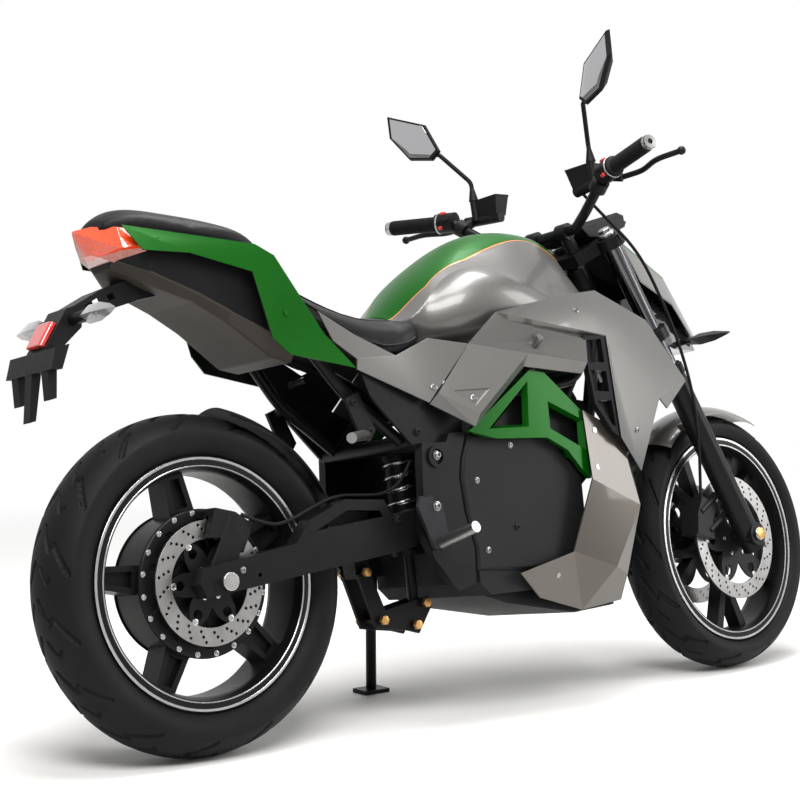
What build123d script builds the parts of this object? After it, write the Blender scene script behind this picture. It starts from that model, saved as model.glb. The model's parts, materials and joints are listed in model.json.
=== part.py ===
from build123d import *
import math
import os

# An electric street motorcycle with a rear hub motor, parked on its side stand.
# It is modelled upright (x forward, y left, z up, millimetres, ground under mid-wheelbase),
# then steered, leaned over on the stand and set on its origin at the end.

# Stance
WHEELBASE = 1420.0
LEAN_DEG = 9.0
STEER_DEG = 6.0
RAKE_DEG = 27.5
FORK_OFFSET = 35.0

# Wheels and tyres
REAR_TYRE_R = 316.0
REAR_TYRE_HALF = 70.0
REAR_RIM_HALF = 51.0
FRONT_TYRE_R = 290.0
FRONT_TYRE_HALF = 55.0
FRONT_RIM_HALF = 38.0
BEAD_R = 218.0
LIP_R = 232.0
BARREL_DROP = 13.0
SPOKES = 5
AXLE_R = 10.0
RUNNING_GAP = 0.3

# Hub motor and brakes
MOTOR_R = 126.0
MOTOR_SHELL = 8.0
MOTOR_HALF = 42.0
MOTOR_COVER_R = 137.0
MOTOR_COVER = 6.0
MOTOR_BOSS_R = 30.0
REAR_DISC_R = 115.0
FRONT_DISC_R = 140.0
DISC_BAND = 34.0
DISC_THICK = 5.0
REAR_DISC_Y = -63.0
FRONT_DISC_Y = 57.5
PAD_GAP = 3.0

# Fork and steering, with places along the fork given from the front axle up
FORK_HALF = 100.0
TUBE_R = 20.5
SLIDER_R = 27.0
SLIDER_TOP = 440.0
TUBE_TOP = 770.0
LOWER_YOKE = 505.0
UPPER_YOKE = 738.0
YOKE_THICK = 26.0
STEM_R = 13.0
HEAD_TUBE_R = 31.0
BAR_R = 11.0
GRIP_R = 17.0
GRIP_LENGTH = 122.0
AXLE_BORE_R = 6.0
STEM_BORE_R = 7.5
STEM_BORE_DEPTH = 45.0

# Frame, battery and swingarm
TOP_TUBE_R = 19.0
RAIL_R = 14.0
TOP_TUBE_Y = 108.0
BATTERY_HALF = 165.0
BATTERY_X = (-150.0, 150.0)
BATTERY_Z = (236.0, 560.0)
PLATE_Y = (148.0, 170.0)
WEB = 7.0
PIVOT = (-250.0, 0.0, 385.0)
PIVOT_R = 10.0
PIVOT_TUBE_R = 24.0
ARM_Y = (92.0, 128.0)
BOBBIN_R = 4.0
BOBBIN_DEPTH = 20.0
BOBBIN_X = -640.0
SHEET = 4.0

# Side stand, in the upright frame
STAND_PIVOT = (-165.0, 176.0, 226.0)
STAND_FOOT_XY = (-112.0, 272.0)
STAND_FOLDED = (-0.97, 0.22, 0.10)
STAND_R = 11.0
STAND_EYE_R = 17.0
STAND_EYE = 14.0
STAND_BOLT_R = 6.0
STAND_EAR = 6.0
STAND_EAR_GAP = 1.0

REAR_AXLE = Vector(-WHEELBASE / 2, 0, REAR_TYRE_R)
FRONT_AXLE = Vector(WHEELBASE / 2, 0, FRONT_TYRE_R)
RAKE = math.radians(RAKE_DEG)
FORK_UP = Vector(-math.sin(RAKE), 0, math.cos(RAKE))
FORK_AHEAD = Vector(math.cos(RAKE), 0, math.sin(RAKE))
LEFT = Vector(0, 1, 0)
BARREL_R = BEAD_R - BARREL_DROP
LEAN = math.radians(LEAN_DEG)


# Shape helpers

def fork_point(along, y=0.0, ahead=0.0):
    """A point given by its distance up the fork, its side and its distance ahead of the fork legs."""
    return FRONT_AXLE + FORK_UP * along + FORK_AHEAD * ahead + LEFT * y


def steer_point(along):
    return fork_point(along, 0, -FORK_OFFSET)


def front(x, y, z):
    """A point of the front end, with x counted from the front axle."""
    return Vector(FRONT_AXLE.X + x, y, z)


def bar(start, end, radius):
    start, end = Vector(*start), Vector(*end)
    return Solid.make_cylinder(radius, (end - start).length, Plane(origin=start, z_dir=end - start))


def tube(points, bends, radius):
    """A round tube along straight runs joined by tangent arcs."""
    path = Wire(FilletPolyline(*points, radius=bends).edges())
    section = Face(Wire.make_circle(radius, Plane(origin=path @ 0, z_dir=path % 0)))
    return Solid.sweep(section, path)


def prism(outline, y0, y1):
    """A plate with an outline of (x, z) points, from y0 to y1."""
    face = Face(Wire.make_polygon([(x, y0, z) for x, z in outline]))
    return Solid.extrude(face, Vector(0, y1 - y0, 0))


def slab(outline, along, thick, ahead=0.0):
    """A plate square to the fork, with an outline of (ahead, y) points."""
    face = Face(Wire.make_polygon([fork_point(along, y, a + ahead) for a, y in outline]))
    return Solid.extrude(face, FORK_UP * thick)


def wheel_outline(centre, points):
    return [centre + Vector(0, y, r) for r, y in points]


def turned(centre, points):
    """A body of revolution about an axle, from (radius, y) points."""
    face = Face(Wire.make_polygon(wheel_outline(centre, points)))
    return Solid.revolve(face, 360, Axis(centre, (0, 1, 0)))


def cylinder_y(centre, radius, y0, y1):
    start = Vector(centre.X, y0, centre.Z)
    return bar(start, Vector(centre.X, y1, centre.Z), radius)


def radial(centre, points, y0, y1, angle):
    """A plate in a wheel, with an outline of (radial, tangential) points, turned to an angle from forward."""
    outline = [(centre.X + r, centre.Z + t) for r, t in points]
    return prism(outline, y0, y1).rotate(Axis(centre, (0, -1, 0)), angle)


def arc_cover(centre, radius, half, drop, thick, start, end):
    """A curved mudguard about an axle: a crowned strip between two angles from forward."""
    def edge_arc(r):
        low, top, high = wheel_outline(centre, [(r - drop, -half), (r, 0), (r - drop, half)])
        return Edge.make_three_point_arc(low, top, high)
    inner, outer = edge_arc(radius), edge_arc(radius + thick)
    sides = [Edge.make_line(inner @ 0, outer @ 0), Edge.make_line(inner @ 1, outer @ 1)]
    face = Face(Wire([inner, outer] + sides))
    axle = Axis(centre, (0, -1, 0))
    return Solid.revolve(face, end - start, axle).rotate(axle, start - 90)


def ruled_loft(*loops):
    """A faceted body with flat sides between polygons."""
    return Solid.make_loft([Wire.make_polygon(loop) for loop in loops], ruled=True)


def scaled(outline, share):
    """An outline of (x, z) points drawn in towards its middle, or out from it."""
    cx = sum(x for x, z in outline) / len(outline)
    cz = sum(z for x, z in outline) / len(outline)
    return [(cx + (x - cx) * share, cz + (z - cz) * share) for x, z in outline]


def plane_side(corners, x, z):
    """Side offset of the plane through three corners, at a place (x, z)."""
    a, b, c = (Vector(*corner) for corner in corners)
    normal = (b - a).cross(c - a)
    return a.Y - (normal.X * (x - a.X) + normal.Z * (z - a.Z)) / normal.Y


def flared_window(outline, y_in, y_out, flare):
    """A window through a plate, widened towards the plate's outer face."""
    return ruled_loft([(x, y_in, z) for x, z in outline], [(x, y_out, z) for x, z in scaled(outline, flare)])


def folded_panel(points, facets, inward):
    """A folded sheet: flat facets between named corners, thickened by one inward step."""
    step = Vector(*inward)
    corner = {name: Vector(*place) for name, place in points.items()}
    triangles = [(f[0], f[i], f[i + 1]) for f in facets for i in range(1, len(f) - 1)]
    rims = {}
    for names in triangles:
        for a, b in zip(names, names[1:] + names[:1]):
            rims.setdefault(frozenset((a, b)), []).append((a, b))
    outer = [[corner[n] for n in names] for names in triangles]
    inner = [[p + step for p in loop] for loop in outer]
    loose = [uses[0] for uses in rims.values() if len(uses) == 1]
    walls = [[corner[a], corner[b], corner[b] + step, corner[a] + step] for a, b in loose]
    faces = [Face(Wire.make_polygon(loop)) for loop in outer + inner + walls]
    return Solid(Shell(faces)).clean()


def crowned_section(x, base, half_base, waist, half_waist, shoulder, half_shoulder, crown):
    """One cross-section of a tank or seat: a flat base, bowed sides and a crowned top."""
    corners = [(x, half_base, base), (x, half_shoulder, shoulder)]
    left = Edge.make_three_point_arc(corners[0], (x, half_waist, waist), corners[1])
    top = Edge.make_three_point_arc(corners[1], (x, 0, crown), (x, -half_shoulder, shoulder))
    right = Edge.make_three_point_arc((x, -half_shoulder, shoulder), (x, -half_waist, waist),
                                      (x, -half_base, base))
    floor = Edge.make_line((x, -half_base, base), corners[0])
    return Wire([floor, left, top, right])


def crowned_body(sections):
    return Solid.make_loft([crowned_section(*row) for row in sections])


def creased_section(x, base, half_base, waist, half_waist, crease, half_crease, stripe, half_stripe, crown):
    """One cross-section of the tank: bowed flanks up to a crease, flat cheeks and a crowned stripe."""
    foot, fold, brow = (x, half_base, base), (x, half_crease, crease), (x, half_stripe, stripe)
    other_foot, other_fold, other_brow = [(x, -y, z) for x, y, z in (foot, fold, brow)]
    return Wire([
        Edge.make_line(other_foot, foot),
        Edge.make_three_point_arc(foot, (x, half_waist, waist), fold),
        Edge.make_line(fold, brow),
        Edge.make_three_point_arc(brow, (x, 0, crown), other_brow),
        Edge.make_line(other_brow, other_fold),
        Edge.make_three_point_arc(other_fold, (x, -half_waist, waist), other_foot),
    ])


def mirrored(shape):
    return shape.mirror(Plane.XZ)


def both(shape):
    return Part() + shape + mirrored(shape)


def joined(*shapes):
    whole = Part()
    for shape in shapes:
        whole = whole + shape
    return whole


def seated(shape, *carriers):
    """A piece cut back to where it meets the pieces that carry it."""
    for carrier in carriers:
        shape = shape - carrier
    return shape


# Wheels

def tyre(centre, radius, half, rim_half):
    shoulder = radius - 0.49 * half
    sidewall = 0.5 * (LIP_R + shoulder)
    bead = BEAD_R + RUNNING_GAP
    foot = rim_half - 0.5
    rim_top = LIP_R + 2
    p = wheel_outline(centre, [(bead, foot), (rim_top, foot), (sidewall, half - 1), (shoulder, half),
                               (radius, 0)])
    q = wheel_outline(centre, [(bead, -foot), (rim_top, -foot), (sidewall, 1 - half), (shoulder, -half)])
    edges = [
        Edge.make_line(q[0], p[0]),
        Edge.make_line(p[0], p[1]),
        Edge.make_three_point_arc(p[1], p[2], p[3]),
        Edge.make_three_point_arc(p[3], p[4], q[3]),
        Edge.make_three_point_arc(q[3], q[2], q[1]),
        Edge.make_line(q[1], q[0]),
    ]
    return Solid.revolve(Face(Wire(edges)), 360, Axis(centre, (0, 1, 0)))


def rim(centre, half):
    side = [(BEAD_R, half), (LIP_R, half + 1), (LIP_R, half + 6), (BEAD_R - 6, half + 7),
            (BARREL_R, half - 12)]
    well = [(BEAD_R - 8, half - 24), (BEAD_R - 2, half - 12)]
    outline = side + [(r, -y) for r, y in reversed(side)] + [(r, -y) for r, y in reversed(well)] + well
    return turned(centre, outline)


def rear_wheel():
    shell_r = MOTOR_R + MOTOR_SHELL
    shell = [(MOTOR_R, -MOTOR_HALF), (shell_r, -MOTOR_HALF), (shell_r, MOTOR_HALF), (MOTOR_R, MOTOR_HALF)]
    wheel = rim(REAR_AXLE, REAR_RIM_HALF) + turned(REAR_AXLE, shell)
    spoke = [(shell_r - 5, -27), (BARREL_R + 3, -20), (BARREL_R + 3, 20), (shell_r - 5, 27)]
    hollow = [(shell_r + 8, -15), (BARREL_R - 8, -10), (BARREL_R - 8, 10), (shell_r + 8, 15)]
    for i in range(SPOKES):
        angle = 100 + i * 360 / SPOKES
        wheel = wheel + radial(REAR_AXLE, spoke, -30, 30, angle)
        wheel = wheel - radial(REAR_AXLE, hollow, 18, 31, angle) - radial(REAR_AXLE, hollow, -31, -18, angle)
    return wheel


def hub_motor():
    face = MOTOR_HALF + MOTOR_COVER
    boss = -REAR_DISC_Y
    bore = AXLE_R + RUNNING_GAP
    half = [(MOTOR_R, MOTOR_HALF), (MOTOR_COVER_R, MOTOR_HALF), (MOTOR_COVER_R, face - 3),
            (MOTOR_COVER_R - 4, face),
            (MOTOR_BOSS_R + 8, face), (MOTOR_BOSS_R, boss), (bore, boss)]
    outline = half + [(r, -y) for r, y in reversed(half)]
    motor = turned(REAR_AXLE, outline)
    slot = [(62, -6), (116, 12), (116, 26), (62, 8)]
    for i in range(2 * SPOKES):
        angle = 8 + i * 180 / SPOKES
        motor = motor - radial(REAR_AXLE, slot, -face - 1, -face + 3, angle)
        motor = motor - radial(REAR_AXLE, slot, face - 3, face + 1, angle)
    return motor


def brake_disc(centre, radius, y, hub_r, bore_r, arms):
    """A braking ring on a carrier with swept arms, from y outward."""
    y0, y1 = sorted((y, y + math.copysign(DISC_THICK, y)))
    inner = radius - DISC_BAND
    disc = turned(centre, [(inner, y0), (radius, y0), (radius, y1), (inner, y1)])
    disc = disc + turned(centre, [(bore_r, y0), (hub_r, y0), (hub_r, y1), (bore_r, y1)])
    arm = [(hub_r - 4, -11), (inner + 4, 5), (inner + 4, 23), (hub_r - 4, 11)]
    for i in range(arms):
        disc = disc + radial(centre, arm, y0, y1, 20 + i * 360 / arms)
    return disc


def front_wheel():
    hub_r = 38
    bore = AXLE_R + RUNNING_GAP
    hub = [(bore, -FRONT_DISC_Y), (hub_r, -FRONT_DISC_Y), (hub_r, FRONT_DISC_Y), (bore, FRONT_DISC_Y)]
    wheel = rim(FRONT_AXLE, FRONT_RIM_HALF) + turned(FRONT_AXLE, hub)
    trunk = [(hub_r - 6, -17), (112, -13), (112, 13), (hub_r - 6, 17)]
    arm = [(98, -4), (BARREL_R + 3, 34), (BARREL_R + 3, 58), (98, 14)]
    for i in range(SPOKES):
        angle = 54 + i * 360 / SPOKES
        other = [(r, -t) for r, t in arm]
        for outline in (trunk, arm, other):
            wheel = wheel + radial(FRONT_AXLE, outline, -17, 17, angle)
    return wheel


# Frame, battery and rear suspension

def main_frame():
    cross = Vector(-262, 0, 545)
    pieces = [bar(steer_point(545), steer_point(724), HEAD_TUBE_R)]
    for side in (1, -1):
        y = side * TOP_TUBE_Y
        top = [steer_point(655), (215, y, 668), (-190, y, 615), (cross.X, y, cross.Z)]
        pieces.append(tube(top, [90, 120], TOP_TUBE_R))
        down = [steer_point(600), (262, side * 72, 520), (BATTERY_X[1], side * 92, 420)]
        pieces.append(tube(down, [70], RAIL_R))
        pieces.append(bar((60, y, 648), (60, side * 80, 740), 10))
    pieces.append(cylinder_y(cross, 16, -PLATE_Y[0], PLATE_Y[0]))
    pieces.append(bar((-60, -TOP_TUBE_Y, 632), (-60, TOP_TUBE_Y, 632), 12))
    frame = joined(*pieces)
    return frame - bar(steer_point(540), steer_point(730), STEM_R + RUNNING_GAP)


def subframe():
    pieces = []
    for side in (1, -1):
        rail = [(-120, side * TOP_TUBE_Y, 624), (-290, side * 102, 714), (-520, side * 96, 800)]
        stay = [(-268, side * TOP_TUBE_Y, 548), (-400, side * TOP_TUBE_Y, 652), (-505, side * 98, 790)]
        pieces.append(tube(rail, [160], RAIL_R))
        pieces.append(tube(stay, [200], RAIL_R - 2))
    pieces.append(bar((-440, -98, 770), (-440, 98, 770), 9))
    return joined(*pieces)


COVER_RISE = 8.0
COVER_ROUND = 7.0
COVER_OUTLINE = [(-149, 553), (-170, 508), (-178, 470), (-172, 400), (-155, 330), (-158, 288), (-40, 278),
                 (118, 278),
                 (138, 330), (146, 454), (46, 556)]


def battery_case():
    x0, x1 = BATTERY_X
    z0, z1 = BATTERY_Z
    cut = 26
    outline = [(x0, z0 + cut), (x0 + cut, z0), (x1, z0), (x1, z1 - 4 * cut), (x1 - 4 * cut, z1), (x0, z1)]
    case = prism(outline, -BATTERY_HALF, BATTERY_HALF)
    cover = prism(COVER_OUTLINE, BATTERY_HALF - 6, BATTERY_HALF + COVER_RISE)
    brim = [edge for edge in cover.edges() if edge.center().Y > BATTERY_HALF + COVER_RISE - 0.1]
    return case + both(cover.fillet(COVER_ROUND, brim))


def pivot_plate():
    """A pivot plate with a ringed boss, and the web that fills in under the side panel."""
    outline = [(-268, 542), (-207, 541), (-197, 558), (-154, 560), (-175, 508), (-183, 470), (-177, 400),
               (-160, 330),
               (-164, 262), (-210, 250), (-262, 318), (-286, 372), (-276, 440)]
    web = [(-392, 696), (-238, 636), (-146, 586), (-152, 556), (-270, 530), (-314, 577), (-371, 639)]
    boss = Vector(-236, 0, 514)
    inner, outer = PLATE_Y
    plate = joined(prism(outline, inner, outer), prism(web, inner, inner + WEB),
                   cylinder_y(boss, 21, inner, outer + 5))
    plate = plate - cylinder_y(boss, 15, outer - 1, outer + 6)
    return plate - cylinder_y(Vector(*PIVOT), PIVOT_R, 0, 300)


def stand_axis():
    down = (stand_foot() - Vector(*STAND_PIVOT)).normalized()
    return down.cross(Vector(*STAND_FOLDED)).normalized()


def ground_height(y):
    """Height of the ground under a side offset, once the machine is leaned over."""
    sink = 1.0
    return (y * math.sin(LEAN) - sink) / math.cos(LEAN)


def stand_foot():
    x, y = STAND_FOOT_XY
    return Vector(x, y, ground_height(y))


def stand_bracket():
    """Two ears and a bolt for the side stand, on a lug from the left pivot plate."""
    axis, pivot = stand_axis(), Vector(*STAND_PIVOT)
    inner = STAND_EYE / 2 + STAND_EAR_GAP
    outer = inner + STAND_EAR
    root = Vector(-196, PLATE_Y[1] - 4, 300)
    ears = []
    for side in (1, -1):
        ear = bar(pivot + axis * side * inner, pivot + axis * side * outer, STAND_EYE_R)
        middle = pivot + axis * side * (inner + outer) / 2
        ears.append(ear + bar(middle, root + axis * side * 6, STAND_EAR - 1))
    bolt = bar(pivot - axis * (outer + 4), pivot + axis * (outer + 4), STAND_BOLT_R)
    lug = bar(root - axis * 18, root + axis * 18, 15)
    eye_room = bar(pivot - axis * inner, pivot + axis * inner, STAND_EYE_R + 5)
    return joined(ears[0], ears[1], lug) - eye_room + bolt


def side_stand():
    axis, pivot, foot = stand_axis(), Vector(*STAND_PIVOT), stand_foot()
    up = Vector(0, -math.sin(LEAN), math.cos(LEAN))
    eye = bar(pivot - axis * STAND_EYE / 2, pivot + axis * STAND_EYE / 2, STAND_EYE_R)
    leg = bar(pivot, foot + up * 3, STAND_R)
    across = Vector(0, math.cos(LEAN), math.sin(LEAN))
    below = Plane(origin=foot - up * 40 - Vector(200, 0, 0) - across * 200, x_dir=(1, 0, 0), z_dir=up)
    sole = Plane(origin=foot - Vector(32, 0, 0) - across * 23, x_dir=(1, 0, 0), z_dir=up)
    stand = joined(eye, leg, Solid.make_box(64, 46, 9, sole))
    for side in (1, -1):
        near, far = axis * side * STAND_EYE / 2, axis * side * 40
        stand = stand - bar(pivot + near, pivot + far, STAND_EYE_R + 8)
    stand = stand - Solid.make_box(400, 400, 40, below)
    return stand - bar(pivot - axis * 40, pivot + axis * 40, STAND_BOLT_R + RUNNING_GAP)


def swingarm():
    pivot = Vector(*PIVOT)
    top_rear, low_rear = REAR_TYRE_R + 27, REAR_TYRE_R - 26
    beam = [(REAR_AXLE.X - 46, top_rear), (-346, 402), (PIVOT[0], 420), (PIVOT[0] + 26, 385), (PIVOT[0], 350),
            (-300, 340), (REAR_AXLE.X - 46, low_rear), (REAR_AXLE.X - 58, REAR_TYRE_R)]
    brace = [(-560, 364), (-517, 414), (-433, 447), (-340, 440), (-318, 398)]
    window = [(-506, 392), (-430, 426), (-352, 420), (-345, 408)]
    arm = prism(beam, *ARM_Y) + prism(brace, *ARM_Y) - prism(window, ARM_Y[0] - 1, ARM_Y[1] + 1)
    arm = arm - cylinder_y(REAR_AXLE, AXLE_R, 0, 300)
    arm = arm - cylinder_y(Vector(BOBBIN_X, 0, 322), BOBBIN_R, ARM_Y[1] - BOBBIN_DEPTH, ARM_Y[1] + 1)
    bridge = [(-358, 352), (-358, 428), (-316, 424), (-306, 352)]
    lug = [(-345, 356), (-300, 356), (-316, 292), (-342, 292)]
    whole = joined(both(arm), prism(bridge, -ARM_Y[0] - 2, ARM_Y[0] + 2), prism(lug, -20, 20))
    whole = whole + cylinder_y(pivot, PIVOT_TUBE_R, -ARM_Y[1], ARM_Y[1])
    return whole - cylinder_y(pivot, PIVOT_R, -300, 300)


def swingarm_pivot():
    end = PLATE_Y[1]
    pin = cylinder_y(Vector(*PIVOT), PIVOT_R, -end, end)
    head = cylinder_y(Vector(*PIVOT), 18, end, end + 9)
    spacer = cylinder_y(Vector(*PIVOT), 16, ARM_Y[1], PLATE_Y[0])
    return joined(pin, both(head), both(spacer))


def rear_shock():
    top, low = Vector(-196, 0, 560), Vector(-190, 0, 232)
    along = (low - top).normalized()
    body = bar(top, low, 11)
    spring = bar(top + along * 40, top + along * 220, 30)
    collars = bar(top + along * 30, top + along * 40, 34) + bar(top + along * 220, top + along * 232, 34)
    hanger = bar(top, Vector(-262, 0, 545), 12)
    return joined(body, spring, collars, hanger)


def shock_linkage():
    rocker = [(-345, 300), (-320, 318), (-285, 225), (-176, 244), (-168, 222), (-205, 172), (-232, 180),
              (-310, 192)]
    plates = both(prism(rocker, 21, 29))
    bolts = [cylinder_y(Vector(x, 0, z), 7, -36, 36)
             for x, z in [(-330, 304), (-298, 207), (-215, 190), (-188, 231)]]
    return joined(plates, *bolts)


HUGGER_ANGLES = (22.0, 76.0)


def rear_hugger():
    guard = arc_cover(REAR_AXLE, REAR_TYRE_R + 16, REAR_TYRE_HALF + 7, 26, 3, *HUGGER_ANGLES)
    angle = math.radians(HUGGER_ANGLES[0] + 3)
    reach = REAR_TYRE_R - 6
    place = REAR_AXLE + Vector(math.cos(angle), 0, math.sin(angle)) * reach
    tabs = both(cylinder_y(place, 6, REAR_TYRE_HALF - 4, ARM_Y[0] + 6))
    return joined(guard, tabs)


def rear_axle():
    end = ARM_Y[1]
    pin = cylinder_y(REAR_AXLE, AXLE_R, -end - 10, end + 10)
    nut = cylinder_y(REAR_AXLE, 17, end, end + 12)
    spacer = cylinder_y(REAR_AXLE, 17, -REAR_DISC_Y + DISC_THICK + 3, ARM_Y[0])
    return joined(pin, both(nut), both(spacer))


def caliper(centre, radius, angle, y_disc, y_in, y_out):
    """A brake caliper straddling a disc's rim, with the disc's slot cut through it."""
    body = [(radius - 44, -40), (radius + 14, -44), (radius + 22, 0), (radius + 14, 44), (radius - 44, 40),
            (radius - 30, 0)]
    block = radial(centre, body, y_in, y_out, angle)
    y0, y1 = sorted((y_disc, y_disc + math.copysign(DISC_THICK, y_disc)))
    room = radius + 6
    slot = turned(centre, [(1, y0 - PAD_GAP), (room, y0 - PAD_GAP), (room, y1 + PAD_GAP), (1, y1 + PAD_GAP)])
    return block - slot


def rear_caliper():
    angle = 66
    block = caliper(REAR_AXLE, REAR_DISC_R, angle, REAR_DISC_Y, -53, -88)
    bracket = radial(REAR_AXLE, [(0, -24), (REAR_DISC_R - 20, -34), (REAR_DISC_R + 8, 10), (0, 24)],
                     -ARM_Y[0], -84, angle)
    bracket = bracket - cylinder_y(REAR_AXLE, 17, -300, 0)
    return joined(block, bracket)


def rear_brake_hose():
    y = -110
    route = [(-640, -82, 436), (-600, y, 408), (-548, y, 416), (-500, y, 436), (-440, y, 456), (-380, y, 452),
             (-330, y, 450), (-285, -118, 470), (-262, -122, 512)]
    return tube(route, [18, 40, 60, 80, 90, 60, 35], 3.5)


# Bodywork; every table of corners is x, side offset, height

TANK_SECTIONS = [
    # x, base, half base, waist, half waist, crease, half crease, stripe, half stripe, crown
    (-228, 752, 58, 772, 68, 790, 62, 798, 50, 808),
    (-150, 742, 90, 792, 132, 848, 106, 862, 84, 882),
    (-50, 740, 95, 808, 174, 896, 120, 914, 86, 950),
    (20, 740, 95, 812, 178, 878, 144, 934, 80, 978),
    (100, 740, 95, 802, 174, 838, 156, 958, 68, 990),
    (190, 742, 92, 796, 164, 824, 150, 958, 54, 984),
    (262, 760, 72, 806, 122, 828, 110, 926, 42, 950),
]
RIDER_SEAT_SECTIONS = [
    # x, base, half base, waist, half waist, shoulder, half shoulder, crown
    (-545, 852, 84, 876, 92, 893, 70, 905),
    (-470, 789, 100, 822, 112, 846, 84, 862),
    (-380, 742, 126, 775, 138, 802, 100, 820),
    (-300, 718, 138, 752, 149, 786, 100, 804),
    (-240, 727, 134, 748, 143, 784, 92, 806),
    (-205, 744, 112, 756, 118, 782, 72, 802),
]
PILLION_SEAT_SECTIONS = [
    (-860, 968, 40, 975, 46, 984, 36, 992),
    (-812, 962, 62, 980, 72, 1000, 54, 1014),
    (-690, 944, 84, 966, 92, 988, 70, 1002),
    (-596, 930, 92, 950, 98, 970, 74, 982),
    (-552, 912, 88, 926, 92, 942, 70, 950),
]
SHROUD_CORNERS = {
    "rear": (-128, 175, 733),
    "step": (-59, 187, 794),
    "seam": (127, 182, 829),
    "top": (240, 168, 842),
    "beak": (387, 166, 778),
    "tip": (483, 174, 644),
    "under": (421, 170, 586),
    "ridge": (-44, 206, 786),
    "vent": (193, 235, 738),
    "tuck": (-40, 198, 776),
    "vent_in": (197, 226, 728),
    "vent_back": (140, 230, 730),
    "low_back": (133, 235, 683),
    "low": (-18, 225, 705),
    "hem": (-16, 206, 681),
    "hem_back": (136, 214, 662),
    "leg_in": (-152, 217, 590),
    "leg_rear_in": (-218, 175, 637),
    "leg": (-156, 203, 566),
    "leg_rear": (-238, 170, 617),
    "cheek": (363, 205, 606),
    "chin": (307, 185, 455),
    "vent_low": (223, 220, 527),
}
SHROUD_FACETS = [
    ("step", "seam", "vent", "ridge"), ("seam", "top", "vent"), ("top", "beak", "vent"),
    ("beak", "cheek", "vent"), ("beak", "tip", "cheek"), ("tip", "under", "cheek"),
    ("vent", "cheek", "chin", "vent_low"), ("ridge", "vent", "vent_in", "tuck"),
    ("step", "ridge", "tuck", "rear"),
    ("tuck", "vent_in", "vent_back"), ("rear", "tuck", "vent_back", "low_back", "low"),
    ("low", "low_back", "hem_back", "hem"), ("rear", "low", "leg_in", "leg_rear_in"),
    ("low", "hem", "leg", "leg_in"), ("leg_rear_in", "leg_in", "leg", "leg_rear"),
]
LEG_RECESS = [(-190, 641), (-114, 640), (-154, 606)]
LEG_RECESS_DEPTH = 2.4
SIDE_PANEL_CORNERS = {
    "front": (-128, 175, 733),
    "low": (-242, 174, 619),
    "rear_low": (-399, 160, 689),
    "rear": (-399, 163, 709),
    "dip": (-302, 160, 714),
    "wing": (-212, 152, 748),
    "strip_mid": (-386, 146, 757),
    "strip_top": (-457, 130, 806),
    "strip_low": (-437, 144, 746),
}
SIDE_PANEL_FACETS = [
    ("front", "wing", "low"), ("wing", "dip", "low"), ("dip", "rear", "rear_low", "low"),
    ("dip", "strip_mid", "rear"),
    ("strip_mid", "strip_top", "strip_low", "rear"),
]
TAIL_CORNERS = {
    "rear_top": (-842, 88, 969),
    "top": (-588, 132, 931),
    "corner": (-553, 140, 909),
    "front": (-462, 150, 760),
    "low_front": (-401, 160, 692),
    "low": (-542, 150, 722),
    "fold": (-574, 142, 755),
    "inner": (-605, 140, 878),
    "mid": (-730, 128, 913),
    "rear_low": (-816, 112, 920),
}
TAIL_FACETS = [
    ("rear_top", "top", "mid", "rear_low"), ("top", "inner", "mid"), ("top", "corner", "inner"),
    ("corner", "front", "fold", "inner"), ("front", "low_front", "low", "fold"),
]
COWL_CORNERS = {
    "back_top": (139, 200, 589),
    "top": (200, 199, 561),
    "shoulder": (259, 190, 510),
    "front": (298, 172, 438),
    "waist": (273, 198, 387),
    "nose": (249, 170, 242),
    "nose_low": (243, 150, 192),
    "keel": (130, 150, 182),
    "keel_rear": (2, 168, 218),
    "heel": (-64, 190, 272),
    "sill": (76, 200, 301),
    "back": (138, 200, 455),
    "face_top": (296, 92, 440),
    "face_low": (262, 62, 205),
}
COWL_FACETS = [
    ("back_top", "top", "back"), ("top", "shoulder", "waist", "back"), ("shoulder", "front", "waist"),
    ("back", "waist", "nose", "sill"), ("sill", "nose", "nose_low", "keel"),
    ("sill", "keel", "keel_rear", "heel"),
    ("front", "face_top", "face_low", "nose_low", "nose", "waist"),
]


def tank(frame):
    return seated(Solid.make_loft([creased_section(*row) for row in TANK_SECTIONS]), frame)


def shroud(frame):
    """A folded shroud with a sunk triangle on its leg."""
    panel = folded_panel(SHROUD_CORNERS, SHROUD_FACETS, (0, -SHEET, 0))
    leg = [SHROUD_CORNERS[name] for name in ("rear", "low", "leg_in")]
    brim = [(x, plane_side(leg, x, z) + 1, z) for x, z in LEG_RECESS]
    floor = [(x, plane_side(leg, x, z) - LEG_RECESS_DEPTH, z) for x, z in scaled(LEG_RECESS, 0.84)]
    boss = bar((20, 224, 738), (20, TOP_TUBE_Y, 650), 8)
    reach = bar((20, 224.5, 738), (20, 260, 765), 30)
    return seated(panel + boss, frame, reach, ruled_loft(brim, floor))


LOUVRE_OUTLINE = [(133, 738), (199, 738), (230, 524), (203, 540), (158, 599), (144, 667)]
LOUVRE_PLANE = [(133, 230, 738), (199, 233, 738), (230, 217, 524)]
LOUVRE_OPENINGS = [
    # rear top, front top, front low, rear low
    [(141, 729), (181, 731), (188, 683), (147, 683)],
    [(150, 668), (192, 664), (198, 622), (159, 625)],
    [(164, 604), (203, 604), (213, 549), (203, 554)],
]
LOUVRE_DEPTH = 15.0


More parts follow.
